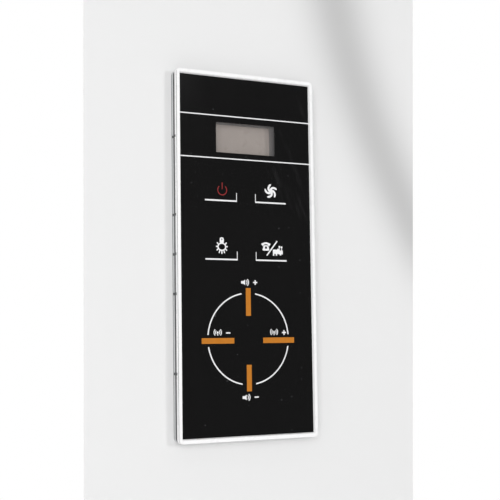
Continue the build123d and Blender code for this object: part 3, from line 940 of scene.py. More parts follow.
def rounded(centre: Place, half: Place, power: float, steps: int = 40) -> Array:
    """A rounded rectangle's outline: |x / a|^p + |z / b|^p = 1, in polar form.

    Args:
        centre: its middle.
        half: half its width and height.
        power: 2 gives an ellipse, and more gives squarer corners.
        steps: points round it.

    Returns:
        (steps, 2) outline.
    """
    way = compass(np.linspace(0, 2 * np.pi, steps, endpoint=False))
    radius = np.sum(np.abs(way / half) ** power, axis=1) ** (-1 / power)
    return np.array(centre) + radius[:, None] * way


def circle(centre: Place, radius: float, steps: int = 40) -> Array:
    """A circle's outline."""
    return rounded(centre, (radius, radius), 2.0, steps)


def round_rect(centre: Place, half: Place, radius: float, steps: int = 6) -> Array:
    """A rectangle's outline with round corners: a quarter circle at each corner in turn.

    Args:
        centre: its middle.
        half: half its width and height.
        radius: the corners' radius.
        steps: points on each corner.

    Returns:
        (4 steps, 2) outline.
    """
    turn = np.linspace(0, np.pi / 2, steps) + np.arange(4)[:, None] * np.pi / 2
    corner = np.array([(1, 1), (-1, 1), (-1, -1), (1, -1)]) * (np.array(half) - radius)
    return np.array(centre) + (corner[:, None] + radius * compass(turn)).reshape(-1, 2)


def capsule(start: Place, end: Place, radius: float, steps: int = 12) -> Array:
    """A line's outline at a distance: half a circle round each end, joined by straight sides.

    Args:
        start: the line's first point.
        end: its last point.
        radius: the distance.
        steps: points on each half circle.

    Returns:
        (2 steps, 2) outline.
    """
    first, last = np.array(start), np.array(end)
    across, up = last - first
    half = radius * compass(np.arctan2(up, across) + np.linspace(-np.pi / 2, np.pi / 2, steps))
    return np.concatenate([last + half, first - half])


def between(outer: Array, inner: Array) -> Array:
    """A ring-shaped grid between two outlines with the same number of points."""
    return np.stack([outer, inner], axis=1)


def node_box(node: str) -> tuple[Array, Array]:
    """A CAD node's lowest and highest corners at rest, in millimetres."""
    low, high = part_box(node)
    return np.array(low) / MM, np.array(high) / MM


# Printed signs on the face


@dataclass
class FaceSigns:
    """Pictograms and legends printed on the black sheet.

    Sizes and places are in millimetres, across (X) and up (Z) from the panel's middle. The parts of a
    loudspeaker or mast count from their sign's own middle. Angles are in degrees.
    """

    sheet_front: float
    ink_depth: float = 0.065
    ink_lift: float = 0.002
    power_at: Place = (-15.95, 37.15)
    power_radius: float = 2.85
    power_arc: Span = (133.0, 407.0)
    power_bar: Span = (0.5, 4.3)
    power_width: float = 0.52
    fan_at: Place = (15.8, 37.9)
    fan_hub: float = 1.4
    fan_blades: int = 5
    fan_turn: float = 64.0
    blade_root: float = 0.9
    blade_length: float = 3.2
    blade_lead: float = 32.0
    blade_sweep: float = 80.0
    blade_width: float = 1.2
    blade_tip: Span = (0.75, 0.26)
    blade_points: int = 14
    lamp_at: Place = (-16.6, 4.65)
    lamp_bulb: Pair = ((2.8, 2.35), (2.1, 1.66))
    lamp_rays: tuple[float, ...] = (36, 2, -31, -62, -90, -118, -149, 178, 144)
    ray_reach: Pair = ((2.6, 2.1), (3.75, 4.1))
    ray_width: float = 0.72
    holder_up: float = 3.55
    holder_half: Place = (1.34, 1.8)
    holder_power: float = 3.0
    hole_up: float = 4.2
    hole_radius: float = 0.42
    phone_at: Place = (12.05, 4.75)
    phone_half: Place = (1.95, 1.6)
    phone_power: float = 5.0
    phone_taper: float = 0.19
    dial_up: float = 0.2
    dial_half: Place = (0.74, 0.7)
    dial_power: float = 2.6
    handset_half: float = 2.6
    handset_up: float = 2.75
    handset_droop: float = 1.15
    handset_width: float = 1.1
    handset_flare: float = 0.95
    handset_points: int = 17
    film_slash: Pair = ((12.55, 0.35), (19.5, 8.9))
    film_slash_width: float = 0.75
    film_body: tuple[Pair, ...] = (
        ((16.6, 1.4), (20.6, 3.95)), ((20.6, 1.2), (23.2, 3.5)), ((19.6, 3.9), (20.6, 4.5)),
    )
    film_reels: tuple[Place, ...] = ((21.0, 5.6), (22.45, 5.35))
    film_reel_radius: float = 0.62
    film_stalks: tuple[Pair, ...] = (((20.7, 3.5), (21.2, 5.1)), ((22.2, 3.5), (22.7, 4.9)))
    film_feet: tuple[Pair, ...] = (
        ((16.6, 0.35), (17.5, 1.4)), ((18.5, 0.4), (19.4, 1.4)), ((21.2, 0.6), (22.1, 1.2)),
    )
    mark_size: float = 2.7
    mark_width: float = 0.75
    volume_up_at: Place = (0.4, -15.4)
    volume_down_at: Place = (0.4, -80.8)
    volume_mark: float = 4.2
    horn: tuple[Place, ...] = ((-3.7, -0.6), (-2.3, -1.6), (-2.3, 1.6), (-3.7, 0.6))
    horn_box: Pair = ((-4.9, -0.75), (-3.6, 0.75))
    sound_from: float = -2.6
    sound_radii: Span = (1.5, 2.5)
    sound_half: float = 48.0
    sound_width: float = 0.5
    tune_down_at: Place = (-17.2, -44.2)
    tune_up_at: Place = (19.2, -44.2)
    tune_mark: float = 4.0
    mast_top: Place = (-2.6, 0.35)
    mast_foot: float = -1.5
    mast_width: float = 0.5
    mast_knob: float = 0.55
    mast_knob_points: int = 7
    wave_radii: Span = (1.35, 2.35)
    wave_half: float = 46.0
    wave_width: float = 0.48

    def printed(self, shapes: Iterable[Array], rings: Iterable[Array] = ()) -> Shell:
        """Plates of open shapes and of rings, each a hair prouder than the one before it.

        Args:
            shapes: (n, m, 2) grids, open along their length.
            rings: (n, 2, 2) grids that close on themselves.

        Returns:
            All the plates in one shell, with no two faces at one depth.
        """
        outlines = [(shape, False) for shape in shapes] + [(ring, True) for ring in rings]
        fronts = self.sheet_front - self.ink_depth - self.ink_lift * np.arange(len(outlines))
        return Shell.joined(
            plate(outline, front, self.sheet_front, closed)
            for (outline, closed), front in zip(outlines, fronts)
        )

    def power(self) -> Shell:
        """A ring open at the top with an upright bar in the gap.

        Returns:
            The sign.
        """
        x, z = self.power_at
        low, high = self.power_bar
        ring = arc(self.power_at, self.power_radius, *self.power_arc, self.power_width)
        return self.printed([ring, line((x, z + low), (x, z + high), self.power_width)])

    def fan_blade(self, turn: float) -> Array:
        """One curved blade, in polar form about the fan's middle.

        The angle falls behind evenly as the radius grows, by the sweep from root to tip, and the
        blade is a band of constant width whose end is rounded by a circle's profile.

        Args:
            turn: the blade's own turn, in degrees.

        Returns:
            (n, 2, 2) grid.
        """
        t = np.linspace(0, 1, self.blade_points)
        radius = self.blade_root + self.blade_length * t
        angle = np.radians(turn + self.blade_lead - self.blade_sweep * t)
        start, length = self.blade_tip
        tip = np.sqrt(np.clip(1 - np.clip((t - start) / length, 0, 1) ** 2, 0, 1))
        return stroke(np.array(self.fan_at) + radius[:, None] * compass(angle), self.blade_width * tip)

    def fan(self) -> Shell:
        """A round hub with swept blades."""
        turns = self.fan_turn + np.arange(self.fan_blades) * 360 / self.fan_blades
        return self.printed([disc(self.fan_at, self.fan_hub), *map(self.fan_blade, turns)])

    def lamp(self) -> Shell:
        """A ring with rays round its sides and foot, under a capped holder with a small hole.

        Returns:
            The sign.
        """
        x, z = self.lamp_at
        way = compass(np.radians(np.array(self.lamp_rays)))
        root, tip = (np.array(self.lamp_at) + way * reach for reach in self.ray_reach)
        rays = [line(start, end, self.ray_width) for start, end in zip(root, tip)]
        bulb = between(*(rounded(self.lamp_at, half, 2.0) for half in self.lamp_bulb))
        cap = rounded((x, z + self.holder_up), self.holder_half, self.holder_power)
        return self.printed(rays, [bulb, between(cap, circle((x, z + self.hole_up), self.hole_radius))])

    def phone(self) -> Shell:
        """A telephone: an arched handset with thick ends, over a tapering body with a dial hole.

        The handset sags with the square of the distance from its middle, and widens with the
        fourth power.

        Returns:
            The sign.
        """
        x, z = self.phone_at
        t = np.linspace(-1, 1, self.handset_points)
        arch = z + self.handset_up - self.handset_droop * t**2
        handset = np.stack([x + self.handset_half * t, arch], axis=-1)
        body = rounded(self.phone_at, self.phone_half, self.phone_power)
        body[:, 0] = x + (body[:, 0] - x) * (1 - self.phone_taper * (body[:, 1] - z))
        dial = rounded((x, z + self.dial_up), self.dial_half, self.dial_power)
        width = self.handset_width + self.handset_flare * t**4
        return self.printed([stroke(handset, width)], [between(body, dial)])

    def film_camera(self) -> Shell:
        """A slash, and a film camera with two reels on stalks and three short feet.

        Returns:
            The sign.
        """
        body, stalks, feet = (
            [box_patch(*corners) for corners in boxes]
            for boxes in (self.film_body, self.film_stalks, self.film_feet)
        )
        reels = [disc(place, self.film_reel_radius) for place in self.film_reels]
        slash = line(*self.film_slash, self.film_slash_width)
        return self.printed([slash, *body, *reels, *stalks, *feet])

    def mark(self, centre: Place, plus: bool) -> list[Array]:
        """A plus or a minus sign.

        Args:
            centre: its middle.
            plus: adds the upright bar.

        Returns:
            The bars' grids.
        """
        x, z = centre
        half = self.mark_size / 2
        bars = [line((x - half, z), (x + half, z), self.mark_width)]
        return bars + [line((x, z - half), (x, z + half), self.mark_width)] if plus else bars

    def loudness(self, centre: Place, plus: bool) -> Shell:
        """A loudspeaker with two sound arcs, and a plus or minus sign beside it.

        Args:
            centre: the sign's middle.
            plus: whether the sign beside it is a plus.

        Returns:
            The sign.
        """
        x, z = centre
        horn = patch(np.array(centre) + self.horn)
        box = box_patch(*(np.array(centre) + self.horn_box))
        arcs = [
            arc((x + self.sound_from, z), radius, -self.sound_half, self.sound_half, self.sound_width)
            for radius in self.sound_radii
        ]
        return self.printed([horn, box, *arcs, *self.mark((x + self.volume_mark, z), plus)])

    def tuning(self, centre: Place, plus: bool) -> Shell:
        """A mast with radio waves on both sides, and a plus or minus sign beside it.

        Args:
            centre: the sign's middle.
            plus: whether the sign beside it is a plus.

        Returns:
            The sign.
        """
        x, z = centre
        top = (x + self.mast_top[0], z + self.mast_top[1])
        waves = [
            arc(top, radius, middle - self.wave_half, middle + self.wave_half, self.wave_width)
            for radius in self.wave_radii
            for middle in (0, 180)
        ]
        pole = line(top, (top[0], z + self.mast_foot), self.mast_width)
        knob = disc(top, self.mast_knob, self.mast_knob_points)
        return self.printed([knob, pole, *waves, *self.mark((x + self.tune_mark, z), plus)])

    def build(self) -> None:
        """Makes every sign a piece on the front unit, the power sign in red and the rest in white."""
        body = Body.FRONT_UNIT.value
        self.power().piece("power_sign", body, "red_ink", Finishes.RED)
        white_signs = {
            "fan_sign": self.fan(),
            "lamp_sign": self.lamp(),
            "phone_sign": self.phone(),
            "film_sign": self.film_camera(),
            "volume_up_sign": self.loudness(self.volume_up_at, True),
            "volume_down_sign": self.loudness(self.volume_down_at, False),
            "tune_down_sign": self.tuning(self.tune_down_at, False),
            "tune_up_sign": self.tuning(self.tune_up_at, True),
        }
        for name, shell in white_signs.items():
            shell.piece(name, body, "white_ink", Finishes.WHITE)


# Screws and nuts


@dataclass(frozen=True)
class Screw:
    """A cross-recessed screw on an axis along Y, with a cut thread.

    Lengths are in millimetres, and depths count from the head's face towards the tip.
    """

    head_radius: float
    head_height: float
    shank_radius: float
    length: float
    recess_length: float
    recess_width: float
    recess_depth: float
    domed: bool
    pitch: float = 0.8
    thread_depth: float = 0.28
    fade_turns: float = 2.0
    rows_per_turn: int = 6
    points_around: int = 48
    edge_cut: Span = (0.3, 0.12)
    edge_drop: float = 0.06
    dome_flat: float = 0.64
    dome_height: float = 0.75
    dome_points: int = 7
    floor_share: float = 0.2
    tip_length: float = 0.5
    tip_share: float = 0.7

    def angles(self) -> Array:
        """Even angles round the axis, with the corners of the recess's four arms added.

        Returns:
            The angles in order, in radians.
        """
        corner = np.arctan2(self.recess_width, self.recess_length)
        arms = np.arange(4)[:, None] * np.pi / 2 + np.array([corner, np.pi / 2 - corner])
        even = np.linspace(0, 2 * np.pi, self.points_around, endpoint=False)
        return np.sort(np.concatenate([even, arms.ravel()]))

    def recess(self, angle: Array) -> Array:
        """The cross's edge in polar form.

        The angle is folded to an eighth of a turn from the nearest arm. There the edge is the arm's
        end, half its length over the cosine, as far as the corner, and then the arm's side, half
        its width over the sine.

        Args:
            angle: angles in radians.

        Returns:
            The edge's radius at each angle.
        """
        folded = np.abs((angle + np.pi / 4) % (np.pi / 2) - np.pi / 4)
        side = self.recess_width / 2 / np.maximum(np.sin(folded), TINY)
        return np.minimum(self.recess_length / 2 / np.cos(folded), side)

    def head(self) -> Array:
        """The head's (radius, depth) points outside the recess, from its face to the shank.

        A domed head's edge is a quarter of an ellipse round a flat middle. A countersunk head is a
        cone with a slightly broken edge.

        Returns:
            (n, 2) points.
        """
        if not self.domed:
            inner, outer = (self.head_radius - cut for cut in self.edge_cut)
            return np.array([(inner, 0.0), (outer, self.edge_drop), (self.shank_radius, self.head_height)])
        t = np.linspace(0, np.pi / 2, self.dome_points)
        radius = self.head_radius * (self.dome_flat + (1 - self.dome_flat) * np.sin(t))
        dome = np.stack([radius, self.dome_height * self.head_height * (1 - np.cos(t))], axis=-1)
        foot = [(self.head_radius, self.head_height), (self.shank_radius, self.head_height)]
        return np.concatenate([dome, foot])

    def thread(self, depth: Array, angle: Array, way: int) -> Array:
        """The thread's radius: a triangle wave of depth over pitch plus angle over a turn.

        It is right-handed whichever way the screw points, and fades in over its first turns, below
        the head.

        Args:
            depth: (n,) depths along the shank.
            angle: (m,) angles.
            way: 1 if the screw points along +Y, -1 if along -Y.

        Returns:
            (n, m) radii.
        """
        phase = way * depth[:, None] / self.pitch + angle / (2 * np.pi)
        wave = np.abs(2 * (phase % 1.0) - 1)
        cut = np.clip((depth - self.head_height) / (self.fade_turns * self.pitch), 0, 1)[:, None]
        return self.shank_radius - self.thread_depth * wave * cut

    def shell(self, centre: Place, face: float, way: int) -> Shell:
        """The whole screw.

        Args:
            centre: X and Z of its axis.
            face: depth of its head's face.
            way: 1 if it points along +Y, -1 if along -Y.

        Returns:
            The shell: recess floor and walls, head, thread and tip, as rows round the axis.
        """
        angle = self.angles()
        recess, around = self.recess(angle), np.ones_like(angle)
        head = self.head()
        turns = (self.length - self.head_height) / self.pitch
        shank_end = self.length - self.tip_length
        run = np.linspace(self.head_height, shank_end, int(turns * self.rows_per_turn))[1:]
        radius = np.concatenate([
            [self.floor_share * self.recess_width * around, recess, recess],
            head[:, :1] * around,
            self.thread(run, angle, way),
            [self.tip_share * self.shank_radius * around],
        ])
        depth = np.concatenate([[self.recess_depth] * 2, [0.0], head[:, 1], run, [self.length]])
        return turned(radius, face + way * depth, angle, centre)


@dataclass(frozen=True)
class ClampNut:
    """A flanged brass nut with a knurled flange, on an axis along Y. Sizes are in millimetres."""

    bore: float = 2.05
    radius: float = 3.0
    flange_thickness: float = 1.0
    bevel: float = 0.18
    knurls: int = 36
    points_per_knurl: int = 6
    knurl_depth: float = 0.14

    def shell(self, centre: Place, flange: float, front: float, back: float) -> Shell:
        """The nut: bore, barrel and flange as rows round the axis.

        The flange's radius is cut by a cosine wave round its edge.

        Args:
            centre: X and Z of its axis.
            flange: the flange's radius.
            front: depth of the barrel's end.
            back: depth of the flange's back.

        Returns:
            The shell.
        """
        angle = np.linspace(0, 2 * np.pi, self.points_per_knurl * self.knurls, endpoint=False)
        knurl = self.knurl_depth * (0.5 - 0.5 * np.cos(self.knurls * angle))
        shoulder = back - self.flange_thickness
        profile = np.array([
            (self.bore, front),
            (self.radius - self.bevel, front),
            (self.radius, front + self.bevel),
            (self.radius, shoulder),
            (flange - 2 * self.bevel, shoulder),
            (flange, shoulder + self.bevel),
            (flange, back - self.bevel),
            (flange - 2 * self.bevel, back),
            (self.bore, back),
        ])
        radius = profile[:, :1] - np.where(profile[:, :1] == flange, knurl, 0.0)
        return turned(radius, profile[:, 1], angle, centre, ring=True)


@dataclass
class Fasteners:
    """The screws and nuts that stand for their plain CAD nodes, with threads, recesses and knurls."""

    clamp_screw: Screw = Screw(
        head_radius=4.0, head_height=1.1, shank_radius=2.0, length=27.2,
        recess_length=4.6, recess_width=0.9, recess_depth=0.8, domed=False,
    )
    board_screw: Screw = Screw(
        head_radius=2.4, head_height=1.8, shank_radius=1.2, length=8.3,
        recess_length=2.8, recess_width=0.6, recess_depth=0.9, domed=True, thread_depth=0.2,
    )
    nut: ClampNut = ClampNut()
    middle_screw_up: float = 10.0

    def build_clamps(self) -> None:
        """One screw and one nut for each clamp, on the axis of the clamp's CAD nut."""
        screws = []
        face = node_box("clamp_screws")[0][1]
        for clamp in Clamp:
            name = f"{clamp.value}_clamp_nut"
            low, high = node_box(name)
            centre = tuple((low + high)[[0, 2]] / 2)
            screws.append(self.clamp_screw.shell(centre, face, 1))
            nut = self.nut.shell(centre, (high - low)[0] / 2, low[1], high[1])
            made = nut.piece(
                f"{clamp.value}_knurled_nut", f"nut_{clamp.value}", "nut_brass", Finishes.BRASS
            )
            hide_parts(name)
        made = Shell.joined(screws).piece(
            "threaded_clamp_screws", Body.WALL_CASE.value, "screw_steel", Finishes.STEEL
        )
        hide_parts("clamp_screws")

    def build_board(self) -> None:
        """Six screws in two columns, at the corners of the CAD screws' box and at the middle height."""
        low, high = node_box("board_screws")
        inset = self.board_screw.head_radius
        across = (low[0] + inset, high[0] - inset)
        up = (low[2] + inset, self.middle_screw_up, high[2] - inset)
        screws = [self.board_screw.shell((x, z), high[1], -1) for x in across for z in up]
        made = Shell.joined(screws).piece(
            "threaded_board_screws", Body.FRONT_UNIT.value, "screw_steel", Finishes.STEEL
        )
        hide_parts("board_screws")

    def build(self) -> None:
        """Makes every screw and nut."""
        self.build_clamps()
        self.build_board()


# Seals


@dataclass
class FoamSealAndShadeStrip:
    """The dark strip in the rim's side groove, which is painted shade along the rim's edge, and the foam
    that bulges between flange and wall.

    Sizes are in millimetres, and the strip's depths count from the rim's front.
    """

    shade_strip_depths: Span = (0.2, 0.9)
    shade_strip_sink: float = 0.1
    shade_strip_width: float = 0.38
    corner: float = 2.5
    foam_hole: Place = (38.6, 95.6)
    foam_hole_corner: float = 5.0
    foam_bulge: float = 0.15
    foam_rows: int = 9

    def build_shade_strip(self) -> None:
        """A thin dark ring round the front moulding, a little below its side: painted shade along the
        rim's edge.
        """
        low, high = node_box("front_bezel")
        half = high[[0, 2]] - self.shade_strip_sink
        outer = round_rect((0, 0), half, self.corner)
        inner = round_rect((0, 0), half - self.shade_strip_width, self.corner - self.shade_strip_width)
        front, back = (low[1] + depth for depth in self.shade_strip_depths)
        ring = plate(between(outer, inner), front, back, closed=True)
        # Painted shade: a dark ring in the groove stands for the shade along the rim's edge.
        ring.piece("rim_painted_shade_strip", Body.FRONT_UNIT.value, "black_rubber", Finishes.RUBBER)

    def build_foam(self) -> None:
        """The wall seal, pressed so that its outer side bulges as half an ellipse.

        At a depth from its front (t = -1) to its back (t = 1) the outline is the CAD seal's, grown
        by the bulge times the root of 1 - t t.
        """
        low, high = node_box("wall_seal")
        t = np.linspace(-1, 1, self.foam_rows)
        grown = self.foam_bulge * np.sqrt(1 - t * t)
        outer = [round_rect((0, 0), high[[0, 2]] + grow, self.corner + grow) for grow in grown]
        hole = round_rect((0, 0), self.foam_hole, self.foam_hole_corner)
        depth = (low[1] + high[1]) / 2 + t * (high[1] - low[1]) / 2
        ring = stacked(np.stack([*outer, hole, hole]), np.append(depth, [high[1], low[1]]), ring=True)
        made = ring.piece(
            "pressed_wall_foam", Body.WALL_CASE.value, "grey_foam", Finishes.FOAM, smooth=True
        )
        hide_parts("wall_seal")

    def build(self) -> None:
        """Makes the painted shade strip and the foam."""
        self.build_shade_strip()
        self.build_foam()


# The board's back


@dataclass
class BoardDetail:
    """Copper tracks, solder, legend lines and small parts on the circuit board's back.

    Places are in millimetres, across (X) and up (Z), and the heights count from the board's back. An
    outlined node has the gap to its line, and the line's corner radius, or None if the node is round.
    """

    back: float
    chip_at: Place
    chip_half: float = 5.0
    lead_count: int = 8
    lead_end: float = 6.2
    track_width: float = 0.34
    track_height: float = 0.06
    track_bend: float = 1.0
    track_end: float = 5.0
    header_up: float = -26.6
    header_pins: int = 6
    header_pitch: float = 2.5
    display_up: float = 55.0
    display_tracks: int = 5
    display_pitch: float = 4.0
    display_shift: float = -0.08
    supply: tuple[Place, ...] = ((9.6, -30.0), (20.0, -30.0), (22.0, -28.0), (22.0, 14.0), (18.4, 17.6))
    supply_width: float = 1.3
    solder_height: float = 0.1
    ring_radii: Span = (0.55, 0.25)
    ring_points: int = 16
    pad_half: float = 0.3
    pad_reach: Span = (-0.9, 0.45)
    resistor_half: Place = (0.62, 0.95)
    resistor_height: float = 0.6
    resistor_up: Span = (0.6, -10.0)
    block_corner: float = 0.12
    block_bevel: float = 0.06
    tip_half: float = 0.28
    tip_inset: float = 0.25
    tip_proud: Span = (0.03, 0.04)
    body_inset: float = 0.3
    legend_width: float = 0.22
    legend_height: float = 0.05
    legend_flat: float = 0.001
    legend_points: int = 12
    dot_radius: float = 0.45
    dot_points: int = 7
    dot_gap: float = 1.7
    label: Pair = ((-7.0, -62.0), (9.0, -54.0))
    outlined: tuple[tuple[str, float, float | None], ...] = (
        ("controller_chip", 0.6, 0.4), ("crystal", 0.3, 2.4), ("buzzer", 0.6, None),
        ("capacitors", 0.6, 3.7), ("voltage_regulator", 0.5, 0.3), ("cable_header", 0.6, 0.3),
    )

    def leads(self) -> Array:
        """How far each lead of a side lies from the chip's middle, along that side."""
        pitch = 2 * self.chip_half / (self.lead_count + 1)
        return (np.arange(self.lead_count) + 1) * pitch - self.chip_half

    def pins(self) -> Array:
        """X of the header's pins."""
        return (np.arange(self.header_pins) - (self.header_pins - 1) / 2) * self.header_pitch

    def display_columns(self) -> Array:
        """X of the display's tracks at their upper ends, a hair beside the middle one's own lead."""
        middle = self.chip_at[0] + self.leads()[1 + self.display_tracks // 2] + self.display_shift
        return middle + (np.arange(self.display_tracks) - self.display_tracks // 2) * self.display_pitch

    def side_tracks(self, side: int, first: float, pitch: float, low: float, step: float) -> list[Array]:
        """Tracks from one side's leads, out and then down: the higher the lead, the further out.

        Args:
            side: -1 for the left leads, 1 for the right ones.
            first: X of the nearest track's long run.
            pitch: from one long run to the next.
            low: Z of the nearest track's end.
            step: from one end to the next.

        Returns:
            The tracks' paths.
        """
        start_x = self.chip_at[0] + side * self.lead_end
        bend = self.track_bend
        paths = []
        for index, along in enumerate(self.leads()):
            up = self.chip_at[1] + along
            x = first + side * pitch * index
            paths.append([(start_x, up), (x - side * bend, up), (x, up - bend), (x, low + step * index)])
        return [np.array(path) for path in paths]

    def fanned(self, start: Array, end_x: Array, end_up: float, way: int) -> list[Array]:
        """Tracks that run straight, slant by an eighth of a turn to a new X, and end side by side.

        Args:
            start: (n, 2) first points.
            end_x: (n,) X where each ends, which isn't the X where it starts.
            end_up: Z where they all end.
            way: 1 if they run up, -1 if down.

        Returns:
            The tracks' paths.
        """
        bend = end_up - way * self.track_end
        paths = []
        for (x, up), target in zip(start, end_x):
            slant = bend - way * abs(target - x)
            paths.append(np.array([(x, up), (x, slant), (target, bend), (target, end_up)]))
        return paths

    def long_runs(self) -> list[Array]:
        """The tracks of the chip's left and right leads, which end at holes through the board."""
        left = self.side_tracks(-1, first=-13.0, pitch=1.25, low=-12.0, step=-10.0)
        return left + self.side_tracks(1, first=3.9, pitch=0.85, low=8.0, step=-2.0)

    def tracks(self) -> list[Array]:
        """Every thin track: the long runs, the header's tracks below and the display's above.

        Returns:
            The tracks' paths.
        """
        x, up = self.chip_at
        leads = x + self.leads()[1:]
        below, above = (
            np.stack([leads[:count], np.full(count, up + way * self.lead_end)], axis=-1)
            for count, way in ((self.header_pins, -1), (self.display_tracks, 1))
        )
        return [
            *self.long_runs(),
            *self.fanned(below, self.pins(), self.header_up, -1),
            *self.fanned(above, self.display_columns(), self.display_up, 1),
        ]

    def resistors(self) -> Array:
        """Where the small resistors lie: above the display's tracks and below the header.

        Returns:
            (n, 3) places.
        """
        above, below = self.resistor_up
        rows = ((self.display_columns(), self.display_up + above), (self.pins(), self.header_up + below))
        return np.array([(x, 0.0, up) for across, up in rows for x in across])

    def block(self, half: Place, height: float, up: float = 0.0) -> Shell:
        """A small part's body: its outline carried back to its height, with a broken edge.

        Args:
            half: half its width and length.
            height: its height.
            up: how far up its middle lies.

        Returns:
            The shell.
        """
        bevel = self.block_bevel
        outlines = [
            round_rect((0, up), (half[0] - cut, half[1] - cut), self.block_corner) for cut in (0, 0, bevel)
        ]
        return stacked(np.stack(outlines), self.back + np.array([0.0, height - bevel, height]))

    def build_copper(self) -> None:
        """Tracks under the lacquer, and a wide supply track from the header to the capacitors."""
        bands = [stroke(path, self.track_width) for path in self.tracks()]
        bands.append(stroke(np.array(self.supply), self.supply_width))
        plates = [plate(band, self.back, self.back + self.track_height) for band in bands]
        Shell.joined(plates).piece("board_tracks", Body.FRONT_UNIT.value, "board_green", Finishes.TRACE)

    def build_solder(self) -> None:
        """Rings round the holes where the long runs end, pads at the leads, and the resistors' ends."""
        depths = self.back, self.back + self.solder_height
        ring = between(*(circle((0, 0), radius, self.ring_points) for radius in self.ring_radii))
        holes = np.array([(path[-1][0], 0.0, path[-1][1]) for path in self.long_runs()])
        shells = [plate(ring, *depths, closed=True).copies(holes)]
        x, up = self.chip_at
        for along in self.leads():
            first, last = along - self.pad_half, along + self.pad_half
            for side in (-1, 1):
                near, far = sorted(side * (self.lead_end + reach) for reach in self.pad_reach)
                shells.append(plate(box_patch((x + near, up + first), (x + far, up + last)), *depths))
                shells.append(plate(box_patch((x + first, up + near), (x + last, up + far)), *depths))
        wider, higher = self.tip_proud
        half = (self.resistor_half[0] + wider, self.tip_half)
        reach = self.resistor_half[1] - self.tip_inset
        tips = [self.block(half, self.resistor_height + higher, side * reach) for side in (-1, 1)]
        shells += [tip.copies(self.resistors()) for tip in tips]
        Shell.joined(shells).piece("board_solder", Body.FRONT_UNIT.value, "pin_metal", Finishes.SOLDER)

    def build_resistors(self) -> None:
        """The small resistors' dark bodies."""
        half = (self.resistor_half[0], self.resistor_half[1] - self.body_inset)
        body = self.block(half, self.resistor_height).copies(self.resistors())
        body.piece("board_resistors", Body.FRONT_UNIT.value, "chip_black", Finishes.REGULATOR)

    def legend(self, node: str, margin: float, corner: float | None) -> Array:
        """A line round a CAD node's box.

        Args:
            node: the node's name.
            margin: the gap between the box and the line.
            corner: the line's corner radius, or None for a round node.

        Returns:
            A ring-shaped grid.
        """
        low, high = (edge[[0, 2]] for edge in node_box(node))
        centre, half = (low + high) / 2, (high - low) / 2 + margin
        radius = half[0] - self.legend_flat if corner is None else corner
        outer, inner = (
            round_rect(centre, half + grow, radius + grow, self.legend_points)
            for grow in (self.legend_width, 0.0)
        )
        return between(outer, inner)

    def build_legend(self) -> None:
        """White outlines round the larger parts, a dot at the chip's first lead and a bare label."""
        depths = self.back, self.back + self.legend_height
        plates = [plate(self.legend(*row), *depths, closed=True) for row in self.outlined]
        x, up = self.chip_at
        reach = self.lead_end + self.dot_gap
        dot = disc((x - reach, up - reach), self.dot_radius, self.dot_points)
        plates += [plate(shape, *depths) for shape in (dot, box_patch(*self.label))]
        Shell.joined(plates).piece("board_legend", Body.FRONT_UNIT.value, "white_ink", Finishes.SILK)

    def build(self) -> None:
        """Makes the copper, the solder, the small parts and the legend."""
        self.build_copper()
        self.build_solder()
        self.build_resistors()
        self.build_legend()


# The case's back


@dataclass
class CaseRelief:
    """Moulded relief on the case's back: ribs, a bare label frame, an arrow that points up, and marks.

    Places are in millimetres, across (X) and up (Z), and the heights count from the case's back.
    """

    back: float
    rib_height: float = 0.9
    rib_x: float = 17.0
    rib_low: float = -56.0
    rib_high: float = 84.0
    cross_ribs: tuple[float, ...] = (-50.0, -16.0, 18.0)
    rib_half: Span = (0.85, 0.5)
    frame_up: float = 50.0
    frame_half: Place = (13.0, 20.0)
    frame_corner: float = 2.0
    frame_width: float = 0.7
    frame_height: float = 0.45
    arrow_shaft: Pair = ((0.0, -8.0), (0.0, 4.0))
    arrow_width: float = 1.6
    arrow_head: tuple[Place, ...] = ((-3.0, 4.0), (3.0, 4.0), (0.15, 9.5), (-0.15, 9.5))
    ejector_x: float = 27.0
    ejector_up: tuple[float, ...] = (-86.0, -62.0, 0.0, 62.0, 86.0)
    ejector_radii: Span = (2.4, 2.1)
    ejector_height: float = 0.15

    def rib(self, start: Place, end: Place) -> Shell:
        """A rib along a line, narrower at its top by its draft."""
        outlines = np.stack([capsule(start, end, half) for half in self.rib_half])
        return stacked(outlines, np.array([self.back, self.back + self.rib_height]))

    def build_ribs(self) -> None:
        """Two long ribs with shorter ones across between them."""
        x, inner = self.rib_x, self.rib_x - 2 * self.rib_half[0]
        ribs = [self.rib((side * x, self.rib_low), (side * x, self.rib_high)) for side in (-1, 1)]
        ribs += [self.rib((-inner, up), (inner, up)) for up in self.cross_ribs]
        Shell.joined(ribs).piece("case_back_ribs", Body.WALL_CASE.value, "case_grey", Finishes.CASE)

    def build_marks(self) -> None:
        """The label frame, the arrow, and a thin ring where each ejector pin pushed."""
        raised = self.back, self.back + self.frame_height
        outer, inner = (
            round_rect((0, self.frame_up), np.array(self.frame_half) - cut, self.frame_corner)
            for cut in (0.0, self.frame_width)
        )
        shells = [plate(between(outer, inner), *raised, closed=True)]
        arrow = (line(*self.arrow_shaft, self.arrow_width), patch(self.arrow_head))
        shells += [plate(shape, *raised) for shape in arrow]
        sides = between(*(circle((0, 0), radius) for radius in self.ejector_radii))
        ring = plate(sides, self.back, self.back + self.ejector_height, closed=True)
        places = [(side * self.ejector_x, 0.0, up) for side in (-1, 1) for up in self.ejector_up]
        shells.append(ring.copies(np.array(places)))
        Shell.joined(shells).piece("case_back_marks", Body.WALL_CASE.value, "case_grey", Finishes.CASE)

    def build(self) -> None:
        """Makes the ribs and the marks."""
        self.build_ribs()
        self.build_marks()


# The two units' CAD nodes and their finishes


